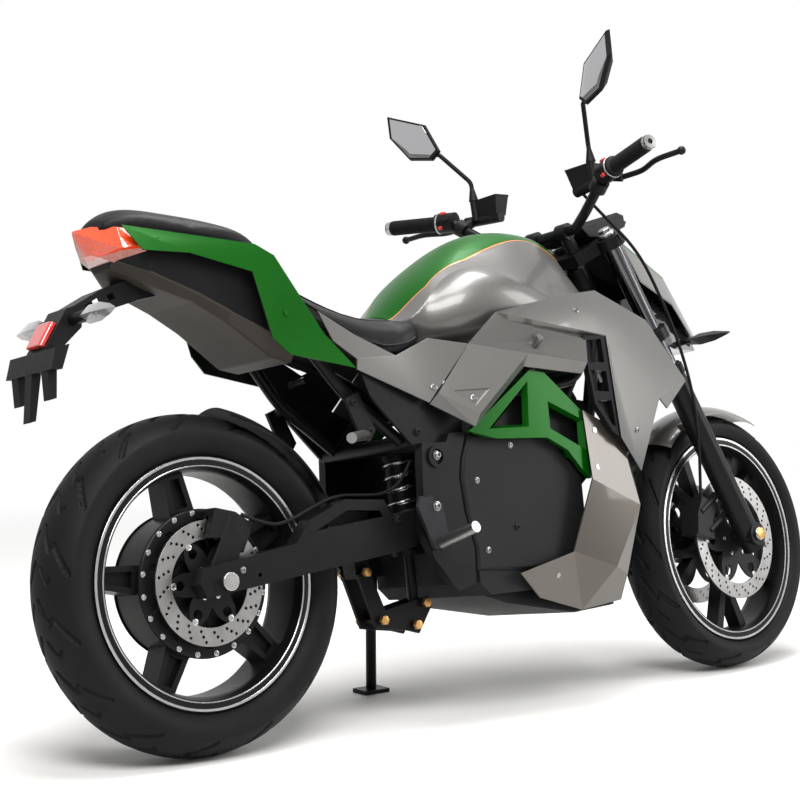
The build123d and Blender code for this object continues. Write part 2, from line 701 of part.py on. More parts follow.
def louvre(panel):
    """A vent frame whose openings are scoops: each floor is a blade that dips inwards towards the front."""
    def at(place, depth):
        x, z = place
        return (x, plane_side(LOUVRE_PLANE, x, z) - depth, z)
    frame = ruled_loft([at(p, 0) for p in LOUVRE_OUTLINE], [at(p, LOUVRE_DEPTH) for p in LOUVRE_OUTLINE])
    for rear_top, front_top, front_low, rear_low in LOUVRE_OPENINGS:
        shallow, deep = 3, 1.5 * LOUVRE_DEPTH
        rear = [at(rear_top, -2), at(rear_low, -2), at(rear_low, shallow), at(rear_top, shallow)]
        front = [at(front_top, -2), at(front_low, -2), at(front_low, deep), at(front_top, deep)]
        frame = frame - ruled_loft(rear, front)
    return seated(frame, panel)


def side_panel(rails, cushion):
    panel = folded_panel(SIDE_PANEL_CORNERS, SIDE_PANEL_FACETS, (0, -SHEET, 0))
    boss = bar((-330, 158, 694), (-330, 104, 700), 7)
    return seated(panel + boss, rails, cushion)


def tail_panel(tray):
    panel = folded_panel(TAIL_CORNERS, TAIL_FACETS, (0, -SHEET, 0))
    bosses = [bar((x, y, z), (x, 60, z), 6)
              for x, y, z in [(-780, 108, 938), (-640, 130, 905), (-540, 145, 800)]]
    return seated(joined(panel, *bosses), tray)


def lower_cowl(case, pan):
    panel = folded_panel(COWL_CORNERS, COWL_FACETS, (-1, -SHEET, 1))
    bosses = [bar((x, 197, z), (x, BATTERY_HALF - 5, z), 8) for x, z in [(126, 340), (142, 430)]]
    return seated(joined(panel, *bosses), case, pan)


def belly_pan():
    z = BATTERY_Z[0]
    outline = [(-124, z), (-60, 214), (120, 178), (232, 184), (248, z)]
    return prism(outline, -138, 138)


TRELLIS_Y = (182.0, 194.0)
TRELLIS_FLARE = 1.28


def trellis_plate(case, frame):
    """The A-shaped accent frame over the battery, with two bevelled windows."""
    outline = [(-166, 558), (9, 675), (48, 669), (150, 580), (150, 448), (130, 465), (93, 509), (40, 537),
               (-98, 541)]
    windows = [[(-98, 567), (-14, 567), (-8, 640)], [(60, 556), (60, 600), (136, 566), (134, 518)]]
    inner, outer = TRELLIS_Y
    plate = prism(outline, inner, outer)
    for window in windows:
        plate = plate - flared_window(window, inner - 1, outer + 1, TRELLIS_FLARE)
    bosses = [bar((x, outer - 4, z), (x, BATTERY_HALF - 5, z), 8)
              for x, z in [(-112, 552), (20, 550), (110, 502)]]
    tie = bar((40, inner + 4, 640), (40, TOP_TUBE_Y, 644), 7)
    return seated(joined(plate, tie, *bosses), case, frame)


def faceted(x, top, half_top, side, half_side, low, half_low):
    """One six-sided cross-section of the tail, from its top edge round to its underside."""
    left = [(x, half_top, top), (x, half_side, side), (x, half_low, low)]
    return left + [(x, -y, z) for x, y, z in reversed(left)]


def undertail(rails):
    """The black tail body: upright sides under the accent panels and a narrow trough below them."""
    rows = [
        # x, top, half top, side, half side, low, half low
        (-842, 952, 44, 914, 44, 897, 26), (-792, 952, 92, 893, 90, 842, 42),
        (-700, 940, 106, 845, 98, 752, 52),
        (-636, 930, 112, 808, 104, 694, 58), (-545, 898, 120, 748, 116, 688, 80),
        (-500, 814, 120, 742, 116, 712, 90),
    ]
    return seated(ruled_loft(*[faceted(*row) for row in rows]), rails)


def tail_light(tray, cushion):
    rows = [
        # x, top, half top, side, half side, low, half low
        (-796, 962, 80, 934, 106, 904, 58), (-838, 970, 62, 928, 78, 908, 44),
        (-868, 976, 22, 948, 40, 926, 14),
        (-891, 972, 5, 968, 8, 964, 4),
    ]
    return seated(ruled_loft(*[faceted(*row) for row in rows]), tray, cushion)


CROSSBAR = Vector(-926, 0, 806)
CROSSBAR_HALF = 84.0
CROSSBAR_R = 11.0
FINGERS = [(-56, -996, 660), (0, -1010, 626), (56, -996, 660)]


def holder_crossbar():
    return cylinder_y(CROSSBAR, CROSSBAR_R, -CROSSBAR_HALF, CROSSBAR_HALF)


def plate_holder(tray):
    """A pierced channel arm, a crossbar for the indicators and a bracket with fingers for a plate."""
    arm_outline = [(-735, 884), (-792, 884), (-868, 858), (-938, 822), (-930, 794), (-862, 820), (-792, 840),
                   (-735, 850)]
    channel = [(x + 4, z - 6) for x, z in arm_outline]
    arm = prism(arm_outline, -30, 30) - prism(channel, -25, 25)
    openings = [[(-898, 832), (-870, 846), (-866, 838), (-894, 824)],
                [(-852, 850), (-838, 856), (-834, 844), (-848, 840)],
                [(-824, 862), (-800, 868), (-798, 856), (-820, 850)]]
    for opening in openings:
        arm = arm - prism(opening, -40, 40)
    spine = prism([(-905, 836), (-938, 826), (-992, 746), (-1000, 720), (-982, 716), (-966, 744),
                   (-910, 792)], -34, 34)
    bracket = prism([(-966, 756), (-994, 750), (-1006, 712), (-984, 712)], -86, 86)
    fingers = [prism([(-984, 724), (-1004, 720), (x - 7, z), (x + 6, z + 3)], y - 12, y + 12)
               for y, x, z in FINGERS]
    return seated(joined(arm, holder_crossbar(), spine, bracket, *fingers), tray)


def reflector(holder):
    """A shallow bevelled reflector on the holder's spine."""
    loops = [[(x - rise * 0.9, y, z + rise * 0.4) for x, z, y in
              [(-955, 800, half), (-983, 757, half), (-983, 757, -half), (-955, 800, -half)]]
             for rise, half in ((-6, 27), (9, 27), (13, 23))]
    return seated(ruled_loft(*loops), holder)


def rear_indicators(holder):
    """Leaf-shaped pods, drawn out to a point beyond the crossbar's ends."""
    rows = [(66, 8, 8), (92, 17, 17), (132, 16, 17), (166, 9, 9), (180, 2, 2)]
    loops = [[(CROSSBAR.X - deep, y, CROSSBAR.Z), (CROSSBAR.X, y, CROSSBAR.Z + high),
              (CROSSBAR.X + deep, y, CROSSBAR.Z),
              (CROSSBAR.X, y, CROSSBAR.Z - high)] for y, deep, high in rows]
    return seated(both(ruled_loft(*loops)), holder)


def rider_pegs():
    bracket = prism([(-296, 440), (-246, 424), (-236, 352), (-254, 332), (-276, 340), (-306, 420)],
                    PLATE_Y[1] + 10, PLATE_Y[1] + 18)
    stem = bar((-270, PLATE_Y[1], 430), (-270, PLATE_Y[1] + 12, 430), 10)
    peg = bar((-256, PLATE_Y[1] + 12, 346), (-252, 288, 372), 11)
    return both(joined(bracket, stem, peg))


def pillion_pegs(stays):
    bracket = prism([(-416, 636), (-384, 648), (-350, 574), (-366, 552), (-386, 560)], 128, 136)
    root = bar((-392, 108, 640), (-392, 130, 632), 9)
    peg = bar((-372, 132, 566), (-470, 216, 556), 10)
    return seated(both(joined(bracket, root, peg)), stays)


# Fork, bars and front end

BAR_BENDS = [front(-427, 0, 986), front(-427, 76, 986), front(-468, 146, 1006), front(-488, 232, 1070),
             front(-528, 378, 1089)]
BAR_RADII = [55, 45, 60]
LEVER_SIDE = Vector(0.94, 0.2, -0.25).normalized()


def fork_tubes():
    return both(bar(fork_point(SLIDER_TOP, FORK_HALF), fork_point(TUBE_TOP, FORK_HALF), TUBE_R))


def fork_sliders():
    leg = bar(fork_point(-34, FORK_HALF), fork_point(SLIDER_TOP, FORK_HALF), SLIDER_R)
    collar = bar(fork_point(SLIDER_TOP - 24, FORK_HALF), fork_point(SLIDER_TOP - 4, FORK_HALF), SLIDER_R + 3)
    clamp = cylinder_y(FRONT_AXLE, 26, FORK_HALF - SLIDER_R, FORK_HALF + SLIDER_R)
    inside = cylinder_y(FRONT_AXLE, 40, FORK_HALF - SLIDER_R - 20, FORK_HALF - SLIDER_R)
    return both(joined(leg, collar, clamp) - inside - cylinder_y(FRONT_AXLE, AXLE_R, 0, 300))


def front_axle():
    end = FORK_HALF + SLIDER_R
    pin = cylinder_y(FRONT_AXLE, AXLE_R, -end, end)
    head = cylinder_y(FRONT_AXLE, 15, end, end + 7)
    spacer = cylinder_y(FRONT_AXLE, 16, FRONT_DISC_Y + DISC_THICK + 3, FORK_HALF - SLIDER_R)
    axle = joined(pin, both(head), both(spacer))
    return axle - cylinder_y(FRONT_AXLE, AXLE_BORE_R, -end - 20, end + 20)


def yoke(along, outline):
    plate = slab(outline, along, YOKE_THICK)
    for side in (1, -1):
        y = side * FORK_HALF
        plate = plate + bar(fork_point(along, y), fork_point(along + YOKE_THICK, y), TUBE_R + 12)
    for side in (1, -1):
        y = side * FORK_HALF
        plate = plate - bar(fork_point(along - 5, y), fork_point(along + YOKE_THICK + 5, y), TUBE_R)
    return plate


def steering_yokes(handlebar):
    """Both fork yokes on the steering stem, with the handlebar's risers."""
    back = -FORK_OFFSET - 46
    upper = [(16, -96), (16, 96), (-22, 96), (back, 62), (back, -62), (-22, -96)]
    lower = [(20, -98), (20, 98), (-24, 98), (-FORK_OFFSET - 30, 30), (-FORK_OFFSET - 30, -30), (-24, -98)]
    stem = bar(steer_point(LOWER_YOKE), steer_point(UPPER_YOKE + YOKE_THICK + 12), STEM_R)
    bar_centre = BAR_BENDS[0]
    risers = []
    for side in (1, -1):
        foot = fork_point(UPPER_YOKE + YOKE_THICK - 4, side * 44, -57)
        top = bar_centre + LEFT * side * 44
        risers.append(bar(foot, top, 15))
        risers.append(bar(top - LEFT * 14, top + LEFT * 14, BAR_R + 8))
    whole = joined(yoke(UPPER_YOKE, upper), yoke(LOWER_YOKE, lower), stem, *risers)
    bore = bar(steer_point(LOWER_YOKE - 5), steer_point(LOWER_YOKE + STEM_BORE_DEPTH), STEM_BORE_R)
    return seated(whole, handlebar, bore)


def handlebar():
    half = tube(BAR_BENDS, BAR_RADII, BAR_R)
    end, out = bar_frame(0)
    cap = bar(end, end + out * 12, GRIP_R - 2)
    return both(half + cap)


def bar_frame(distance):
    """A point on the straight end of the left bar, a distance in from its end, and the bar's direction."""
    end = BAR_BENDS[-1]
    out = (end - BAR_BENDS[-2]).normalized()
    return end - out * distance, out


def grips(handlebar):
    end, out = bar_frame(0)
    sleeve = bar(end - out * GRIP_LENGTH, end, GRIP_R)
    flange = bar(end - out * GRIP_LENGTH, end - out * (GRIP_LENGTH - 6), GRIP_R + 5)
    return seated(both(sleeve + flange), handlebar)


def bar_controls(handlebar, grips):
    """Switch housings, and the master cylinders with their reservoirs clamped in front of the bar."""
    inner, out = bar_frame(GRIP_LENGTH + 44)
    housing = bar(inner, inner + out * 43.5, 23)
    rise = (BAR_BENDS[3] - BAR_BENDS[2]).normalized()
    grasp = BAR_BENDS[2] + rise * 72
    clamp = bar(grasp - rise * 12, grasp + rise * 12, BAR_R + 8)
    far, near = front(-448, 112, 1058), front(-456, 212, 1066)
    link = bar(grasp, front(-454, 192, 1064), 11)
    tank_rows = [(1062, 15, 24), (1100, 20, 33), (1107, 22, 35)]
    loops = [[front(-446 + deep, 138 + wide, z), front(-446 - deep, 138 + wide, z),
              front(-446 - deep, 138 - wide, z),
              front(-446 + deep, 138 - wide, z)] for z, deep, wide in tank_rows]
    lever_ears = bar(near, lever_root() - out * 4, 9)
    return seated(both(joined(housing, clamp, link, bar(far, near, 12), lever_ears, ruled_loft(*loops))),
                  handlebar, grips)


def lever_root():
    inner, out = bar_frame(GRIP_LENGTH + 44)
    return inner + LEVER_SIDE * 44 + out * 16


def levers(controls):
    """Waved lever blades with a ball at the tip."""
    root, out = lever_root(), bar_frame(0)[1]
    wave = [(0, 0), (46, 18), (104, 12), (166, 34)]
    points = [root + out * along + LEVER_SIDE * ahead for along, ahead in wave]
    blade = tube(points, [70, 90], 6)
    ball = Solid.make_sphere(9, Plane(origin=points[-1]))
    return seated(both(joined(blade, ball)), controls)


MIRROR_CENTRE = front(-533, 272, 1272)
MIRROR_FACING = Vector(-0.960, -0.275, 0.045).normalized()
MIRROR_OUTLINE = [(-60, 66), (32, 25), (62, -42), (42, -58), (-14, -45), (-59, 15)]
MIRROR_STEM = [front(-462, 175, 1062), front(-464, 175, 1150), front(-511, 215, 1220)]


def mirrors(controls):
    """Six-sided heads, raised outwards, on bent stems with a tapered boot."""
    across = Vector(0, 0, 1).cross(MIRROR_FACING).normalized()
    glass = Plane(origin=MIRROR_CENTRE, x_dir=across, z_dir=MIRROR_FACING)
    rows = [(0, 1.0), (-8, 1.04), (-26, 0.62)]
    loops = [[glass.offset(depth).from_local_coords((x * share, y * share)) for x, y in MIRROR_OUTLINE]
             for depth, share in rows]
    foot, bend, neck = MIRROR_STEM
    stem = tube([foot, bend, neck, neck - MIRROR_FACING * 8 + across * -14 + Vector(0, 0, 8)], [26, 6], 5)
    up = (bend - foot).normalized()
    boot = Solid.make_cone(11, 5.5, 26, Plane(origin=foot + up * 46, z_dir=up))
    socket = bar(foot, foot + up * 46, 9)
    return seated(both(joined(ruled_loft(*loops), stem, boot, socket)), controls)


def front_prism(outline, half):
    """A plate across the front end, with an outline of (x from the front axle, z) points."""
    return prism([(FRONT_AXLE.X + x, z) for x, z in outline], -half, half)


def instrument(yokes):
    box = front_prism([(-392, 994), (-258, 1024), (-236, 1014), (-244, 1002), (-306, 978), (-370, 974)], 66)
    hood = front_prism([(-280, 1018), (-258, 1036), (-236, 1030), (-234, 1006), (-240, 1008), (-258, 1024)],
                       60)
    post = bar(front(-318, 0, 985), fork_point(UPPER_YOKE + YOKE_THICK - 2, 0, 4), 12)
    return seated(joined(box, hood, post), yokes)


MASK_CORNERS = {
    # x from the front axle, side offset, height
    "rear": (-280, 0, 980), "rear_side": (-286, 82, 964), "mid": (-118, 0, 908), "mid_side": (-130, 62, 892),
    "nose": (18, 0, 768), "nose_side": (2, 26, 764), "low_rear": (-280, 118, 868), "jaw": (-158, 100, 822),
    "chin": (-20, 46, 742),
}
MASK_FACETS = [
    ("mid", "mid_side", "nose_side", "nose"), ("rear_side", "low_rear", "jaw", "mid_side"),
    ("mid_side", "jaw", "chin", "nose_side"),
]
MASK_STRIP_FACETS = [("rear", "rear_side", "mid_side", "mid")]


def mask_sheet(facets):
    corners = {name: tuple(front(*place)) for name, place in MASK_CORNERS.items()}
    return both(folded_panel(corners, facets, (-2, 0, -SHEET)))


def headlight_cowl(lamp):
    """The faceted mask over the headlight, on a post from the lamp."""
    post = bar(front(-98, 0, 776), front(-98, 0, 886), 10)
    return seated(joined(mask_sheet(MASK_FACETS), post), lamp)


def headlight(cowl, forks, yokes):
    rows = [
        # x from the front axle, half width, top, base
        (-210, 84, 850, 742), (-150, 82, 816, 722), (-20, 40, 756, 726),
    ]
    loops = [[front(x, -w, z1), front(x, w, z1), front(x, w * 0.8, z0), front(x, -w * 0.8, z0)]
             for x, w, z0, z1 in rows]
    ears = both(bar(front(-180, 62, 805), fork_point(610, FORK_HALF), 9))
    legs_room = both(bar(fork_point(300, FORK_HALF), fork_point(560, FORK_HALF), SLIDER_R + 4))
    return seated(joined(ruled_loft(*loops), ears), cowl, forks, yokes, legs_room)


def front_indicators(lamp):
    """Slim leaves on short stalks, drawn out to a point."""
    rows = [(92, 30, 8), (120, 38, 13), (160, 34, 11), (198, 10, 3)]
    loops = [[front(-100 - deep, y, 738), front(-100, y, 738 + high), front(-100 + deep, y, 740),
              front(-100, y, 738 - high)]
             for y, deep, high in rows]
    stalk = bar(front(-120, 60, 735), front(-120, 104, 738), 7)
    return seated(both(joined(ruled_loft(*loops), stalk)), lamp)


def front_fender(sliders):
    guard = arc_cover(FRONT_AXLE, FRONT_TYRE_R + 16, FRONT_TYRE_HALF + 9, 22, 3, 62, 132)
    stay = bar(fork_point(290, 54), fork_point(290, FORK_HALF), 9)
    return seated(joined(guard, both(stay)), sliders)


def front_calipers(sliders):
    block = caliper(FRONT_AXLE, FRONT_DISC_R, 158, FRONT_DISC_Y, FRONT_DISC_Y - 22, FRONT_DISC_Y + 26)
    lugs = [bar(fork_point(a, 78, -20), fork_point(a, 78, -92), 9) for a in (70, 120)]
    return seated(both(joined(block, *lugs)), sliders)


def front_brake_hose(controls, calipers):
    route = [front(-445, -124, 1054), front(-392, -132, 1004), front(-314, -146, 930), front(-258, -144, 840),
             front(-204, -141, 720), front(-174, -136, 600), front(-154, -116, 500), front(-136, -92, 430),
             front(-126, -76, 372)]
    return seated(tube(route, [40, 90, 120, 120, 140, 120, 90], 3.5), controls, calipers)


# Placing

def steered(shape):
    return shape.rotate(Axis(steer_point(0), FORK_UP), STEER_DEG)


def leaned(shape):
    return shape.rotate(Axis.X, -LEAN_DEG)


def build_upright():
    """Every piece in the upright frame, by node, with the steering group listed apart."""
    frame, case = main_frame(), battery_case()
    rails = seated(subframe(), frame)
    tray = undertail(rails)
    pan = belly_pan()
    plate = pivot_plate()
    left_plate = joined(plate, stand_bracket())
    holder = plate_holder(tray)
    pillion = seated(crowned_body(PILLION_SEAT_SECTIONS), tray)
    cover = tank(frame)
    seat = seated(crowned_body(RIDER_SEAT_SECTIONS), rails, tray, cover)
    flank = shroud(frame)
    trim = {
        "shroud": flank, "side_panel": side_panel(rails, seat), "tail_panel": tail_panel(tray),
        "lower_cowl": lower_cowl(case, pan), "trellis": trellis_plate(case, frame),
    }
    fixed = {
        "main_frame": seated(frame, case), "subframe": rails, "battery_case": case, "belly_pan": pan,
        "pivot_plates": joined(left_plate, mirrored(plate)),
        "swingarm": swingarm(), "swingarm_pivot": swingarm_pivot(), "rear_shock": seated(rear_shock(), frame),
        "rear_hugger": seated(rear_hugger(), swingarm()), "rear_axle": rear_axle(),
        "rear_caliper": seated(rear_caliper(), rear_axle()), "rear_brake_hose": rear_brake_hose(),
        "tank": cover, "rider_seat": seat, "pillion_seat": pillion, "louvres": both(louvre(flank)),
        "undertail": tray,
        "tail_light": tail_light(tray, pillion), "plate_holder": holder, "reflector": reflector(holder),
        "rear_indicators": rear_indicators(holder),
        "rider_pegs": rider_pegs(), "pillion_pegs": pillion_pegs(rails),
        "shock_linkage": seated(shock_linkage(), swingarm(), rear_shock(), pan, case),
        "side_stand": side_stand(),
        "rear_tyre": tyre(REAR_AXLE, REAR_TYRE_R, REAR_TYRE_HALF, REAR_RIM_HALF), "rear_wheel": rear_wheel(),
        "hub_motor": hub_motor(),
        "rear_disc": brake_disc(REAR_AXLE, REAR_DISC_R, REAR_DISC_Y, 46, 20, 6),
    }
    for name, piece in trim.items():
        fixed[name + "_left"] = piece
        fixed[name + "_right"] = mirrored(piece)
    bars = handlebar()
    yokes, sliders, hand_grips = steering_yokes(bars), fork_sliders(), grips(bars)
    controls = bar_controls(bars, hand_grips)
    strip, mask = mask_sheet(MASK_STRIP_FACETS), mask_sheet(MASK_FACETS)
    lamp = headlight(joined(strip, mask), fork_tubes(), yokes)
    calipers = front_calipers(sliders)
    turning = {
        "steering_yokes": yokes, "fork_tubes": fork_tubes(), "fork_sliders": sliders,
        "front_axle": front_axle(),
        "handlebar": bars, "grips": hand_grips, "bar_controls": controls, "levers": levers(controls),
        "mirrors": mirrors(controls), "instrument": instrument(yokes),
        "headlight_cowl": headlight_cowl(lamp), "cowl_strip": seated(strip, mask), "headlight": lamp,
        "front_indicators": front_indicators(lamp), "front_fender": front_fender(sliders),
        "front_calipers": calipers, "front_brake_hose": front_brake_hose(controls, calipers),
        "front_tyre": tyre(FRONT_AXLE, FRONT_TYRE_R, FRONT_TYRE_HALF, FRONT_RIM_HALF),
        "front_wheel": front_wheel(),
        "front_discs": both(brake_disc(FRONT_AXLE, FRONT_DISC_R, FRONT_DISC_Y, 46, 20, 5)),
    }
    return fixed, turning


def build_parked():
    """Every piece leaned over on the stand, with the middle of the whole part's base at the origin."""
    fixed, turning = build_upright()
    parked = {name: leaned(piece) for name, piece in fixed.items()}
    parked.update({name: leaned(steered(piece)) for name, piece in turning.items()})
    boxes = [piece.bounding_box() for piece in parked.values()]
    low = [min(getattr(b.min, a) for b in boxes) for a in "XYZ"]
    high = [max(getattr(b.max, a) for b in boxes) for a in "XYZ"]
    home = Vector((low[0] + high[0]) / 2, (low[1] + high[1]) / 2, low[2])
    return {name: piece.moved(Location(-home)) for name, piece in parked.items()}, home


PARKED, HOME = build_parked()
os.makedirs("parts", exist_ok=True)
for node, piece in PARKED.items():
    export_step(piece, os.path.join("parts", node + ".step"))
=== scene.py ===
import bpy
import json
import math
import numpy as np
from mathutils import Matrix, Vector
from mathutils.bvhtree import BVHTree


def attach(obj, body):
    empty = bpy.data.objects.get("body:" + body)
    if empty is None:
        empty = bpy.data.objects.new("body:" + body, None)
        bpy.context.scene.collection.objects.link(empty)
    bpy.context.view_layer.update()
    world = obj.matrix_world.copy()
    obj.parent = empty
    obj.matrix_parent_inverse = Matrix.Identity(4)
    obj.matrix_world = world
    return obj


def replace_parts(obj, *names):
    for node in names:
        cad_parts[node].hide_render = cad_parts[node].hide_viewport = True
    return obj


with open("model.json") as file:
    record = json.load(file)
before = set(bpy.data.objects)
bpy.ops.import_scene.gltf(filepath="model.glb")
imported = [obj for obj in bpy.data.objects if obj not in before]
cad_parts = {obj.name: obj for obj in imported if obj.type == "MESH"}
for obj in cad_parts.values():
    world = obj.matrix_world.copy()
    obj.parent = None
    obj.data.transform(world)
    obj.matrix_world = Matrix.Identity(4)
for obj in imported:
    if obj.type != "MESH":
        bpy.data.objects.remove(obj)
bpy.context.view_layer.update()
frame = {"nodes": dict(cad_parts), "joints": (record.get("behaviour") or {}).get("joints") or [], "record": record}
NODES = frame["nodes"]
JOINTS = {joint["name"]: joint for joint in frame["joints"]}

# Stance: every place below is in the upright machine's own frame, in metres
REAR_AXLE = Vector((-0.710, 0.0, 0.316))
FRONT_AXLE = Vector((0.710, 0.0, 0.290))
STEER_DEG = 6.0
RAKE = math.radians(27.5)
FORK_UP = Vector((-math.sin(RAKE), 0, math.cos(RAKE)))

# The frame's joints give the parked lean and the steering axis
SPIN = JOINTS["rear_wheel_spin"]
LEAN = math.atan2(-SPIN["axis"][2], SPIN["axis"][1])
LEANED = Matrix.Rotation(-LEAN, 4, "X")
PARKED = Matrix.Translation(Vector(SPIN["pos_m"]) - LEANED @ REAR_AXLE) @ LEANED
STEER_PIVOT = Vector(JOINTS["steering"]["pos_m"])
STEER_AXIS = Vector(JOINTS["steering"]["axis"])
TURNED = (Matrix.Translation(STEER_PIVOT)
          @ Matrix.Rotation(math.radians(STEER_DEG), 4, STEER_AXIS)
          @ Matrix.Translation(-STEER_PIVOT))
STEERED = TURNED @ PARKED
PLACE = {"chassis": PARKED, "rear_wheel_set": PARKED, "steering": STEERED, "front_wheel_set": STEERED}

# Sizes shared with the solids
REAR_TYRE = {"centre": REAR_AXLE, "radius": 0.316, "half": 0.070, "rim_half": 0.051}
FRONT_TYRE = {"centre": FRONT_AXLE, "radius": 0.290, "half": 0.055, "rim_half": 0.038}
BEAD_R = 0.218
LIP_R = 0.232
DISC_BAND = 0.034
DISC_THICK = 0.005
BAR_END = FRONT_AXLE + Vector((-0.528, 0.378, 0.799))
BAR_KNEE = FRONT_AXLE + Vector((-0.488, 0.232, 0.780))
BAR_OUT = (BAR_END - BAR_KNEE).normalized()
GRIP_LENGTH = 0.122
GRIP_R = 0.017
FORK_HALF = 0.100
TUBE_TOP = 0.770


# Node helpers for the materials

NOISE, CELLS = "TexNoise", "TexVoronoi"


def feed(tree, node, inputs):
    """Sets a node's inputs to values, or links them to sockets."""
    for key, value in inputs.items():
        if isinstance(value, bpy.types.NodeSocket):
            tree.links.new(value, node.inputs[key])
        else:
            node.inputs[key].default_value = value


def add(tree, kind, inputs=None, **settings):
    node = tree.nodes.new("ShaderNode" + kind)
    for key, value in settings.items():
        setattr(node, key, value)
    feed(tree, node, inputs or {})
    return node


def shader(name):
    material = bpy.data.materials.new(name)
    material.use_nodes = True
    tree = material.node_tree
    return material, tree, tree.nodes["Principled BSDF"]


def calc(tree, operation, *values):
    return add(tree, "Math", dict(enumerate(values)), operation=operation).outputs[0]


def coordinate(tree, kind="Object"):
    return add(tree, "TexCoord").outputs[kind]


def texture(tree, kind, scale, **inputs):
    """A procedural texture in the part's own metres."""
    node = add(tree, kind, {"Scale": scale, "Vector": coordinate(tree), **inputs})
    return node.outputs["Distance" if kind == CELLS else "Fac"]


def ramp(tree, source, low, high, start=0.3, end=0.7):
    node = add(tree, "ValToRGB", {"Fac": source})
    for stop, place, colour in zip(node.color_ramp.elements, (start, end), (low, high)):
        stop.position = place
        stop.color = (*colour, 1)
    return node.outputs["Color"]


def level(tree, source, low, high, start=0.0, end=1.0):
    inputs = {"Value": source, "From Min": start, "From Max": end, "To Min": low, "To Max": high}
    return add(tree, "MapRange", inputs).outputs["Result"]


def mixed(tree, factor, low, high):
    """A colour between two colour sockets or tuples."""
    colours = {key: (*c, 1) if isinstance(c, tuple) else c for key, c in ((6, low), (7, high))}
    return add(tree, "Mix", {"Factor": factor, **colours}, data_type="RGBA").outputs[2]


def facing(tree, first, second):
    return add(tree, "VectorMath", {0: first, 1: second}, operation="DOT_PRODUCT").outputs["Value"]


def upright(tree, place=PARKED):
    """x, y and z in the upright machine's frame, at a point of a piece carried at a place."""
    inputs = {"Vector": coordinate(tree), "Location": place.to_translation(), "Rotation": place.to_euler()}
    moved = add(tree, "Mapping", inputs, vector_type="TEXTURE")
    split = add(tree, "SeparateXYZ", {"Vector": moved.outputs["Vector"]})
    return [split.outputs[axis] for axis in "XYZ"]


def bumped(tree, kind, scale, strength, depth):
    """The normal of a fine grain."""
    inputs = {"Height": texture(tree, kind, scale), "Strength": strength, "Distance": depth}
    return add(tree, "Bump", inputs).outputs["Normal"]


def shade(colour, factor):
    return tuple(min(1.0, c * factor) for c in colour)


def cloudy(tree, colour, spread, cloud):
    clouds = texture(tree, NOISE, cloud, Detail=5.0)
    return ramp(tree, clouds, shade(colour, 1 - spread), shade(colour, 1 + spread))


# Materials

SILVER = (0.112, 0.108, 0.102)
GREEN = (0.002, 0.068, 0.002)
# The lower cowls' silver paint, painted darker and warmer: painted shade and a painted warm reflection of the
# floor
COWL_SHADE_AND_FLOOR_REFLECTION = (0.070, 0.061, 0.051)
AMBER = (0.62, 0.20, 0.06)
BLACK = (0.0045, 0.0045, 0.005)
CLEAR = (0.16, 0.16, 0.165)
DULL = 0.12
STRIPE_FOOT = (-0.228, -0.150, 0.050, 0.085)
STRIPE_TOP = (-0.040, 0.262, 0.085, 0.042)
STRIPE_LINE = 0.0016
# The brow of the headlight cowl, where its accent strip folds over onto the side
BROW = {"x": 0.424, "z": 0.964, "slope": -0.4615, "width": 0.011}
# A grain: texture, scale, strength, depth
PEEL = (NOISE, 240.0, 0.03, 0.0006)
MOULDED = (CELLS, 900.0, 0.12, 0.0004)
FLUTES = (CELLS, 260.0, 0.08, 0.001)
PEG_GRAIN = (NOISE, 500.0, 0.08, 0.0004)
PAINT_COAT_ROUGH = 0.04
PAINT_ROUGH = 0.30
INSIDE_ROUGHER = 0.18


def surface(name, colour, rough, wear, metallic, coat, specular, spread, cloud, grain):
    """A finish with cloudy tone, uneven roughness and a fine grain."""
    material, tree, bsdf = shader(name)
    smudge = texture(tree, NOISE, cloud * 4, Detail=6.0)
    feed(tree, bsdf, {
        "Base Color": cloudy(tree, colour, spread, cloud),
        "Roughness": level(tree, smudge, rough - wear, rough + wear),
        "Metallic": metallic, "Specular IOR Level": specular,
        "Coat Weight": coat, "Coat Roughness": 0.05,
    })
    if grain:
        feed(tree, bsdf, {"Normal": bumped(tree, *grain)})
    return material


def lens(name, colour, beyond=None, axis="z", edge=0.0, slope=0.0, shadow=0.7, rough=0.06):
    """A moulded lens with flutes under its face. A second colour lies beyond an edge on an axis, which
    rises with the distance from the centre plane."""
    material, tree, bsdf = shader(name)
    flutes = texture(tree, *FLUTES[:2])
    colours = [colour, beyond] if beyond else [colour]
    tones = [ramp(tree, flutes, shade(c, shadow), shade(c, 1.15), 0.0, 0.8) for c in colours]
    tone = tones[0]
    if beyond:
        places = dict(zip("xyz", upright(tree)))
        rise = calc(tree, "MULTIPLY", calc(tree, "ABSOLUTE", places["y"]), slope)
        above = calc(tree, "GREATER_THAN", calc(tree, "SUBTRACT", places[axis], rise), edge)
        tone = mixed(tree, above, *tones)
    feed(tree, bsdf, {
        "Base Color": tone, "Roughness": rough, "Coat Weight": 1.0, "Coat Roughness": 0.03,
        "Normal": bumped(tree, *FLUTES),
    })
    return material


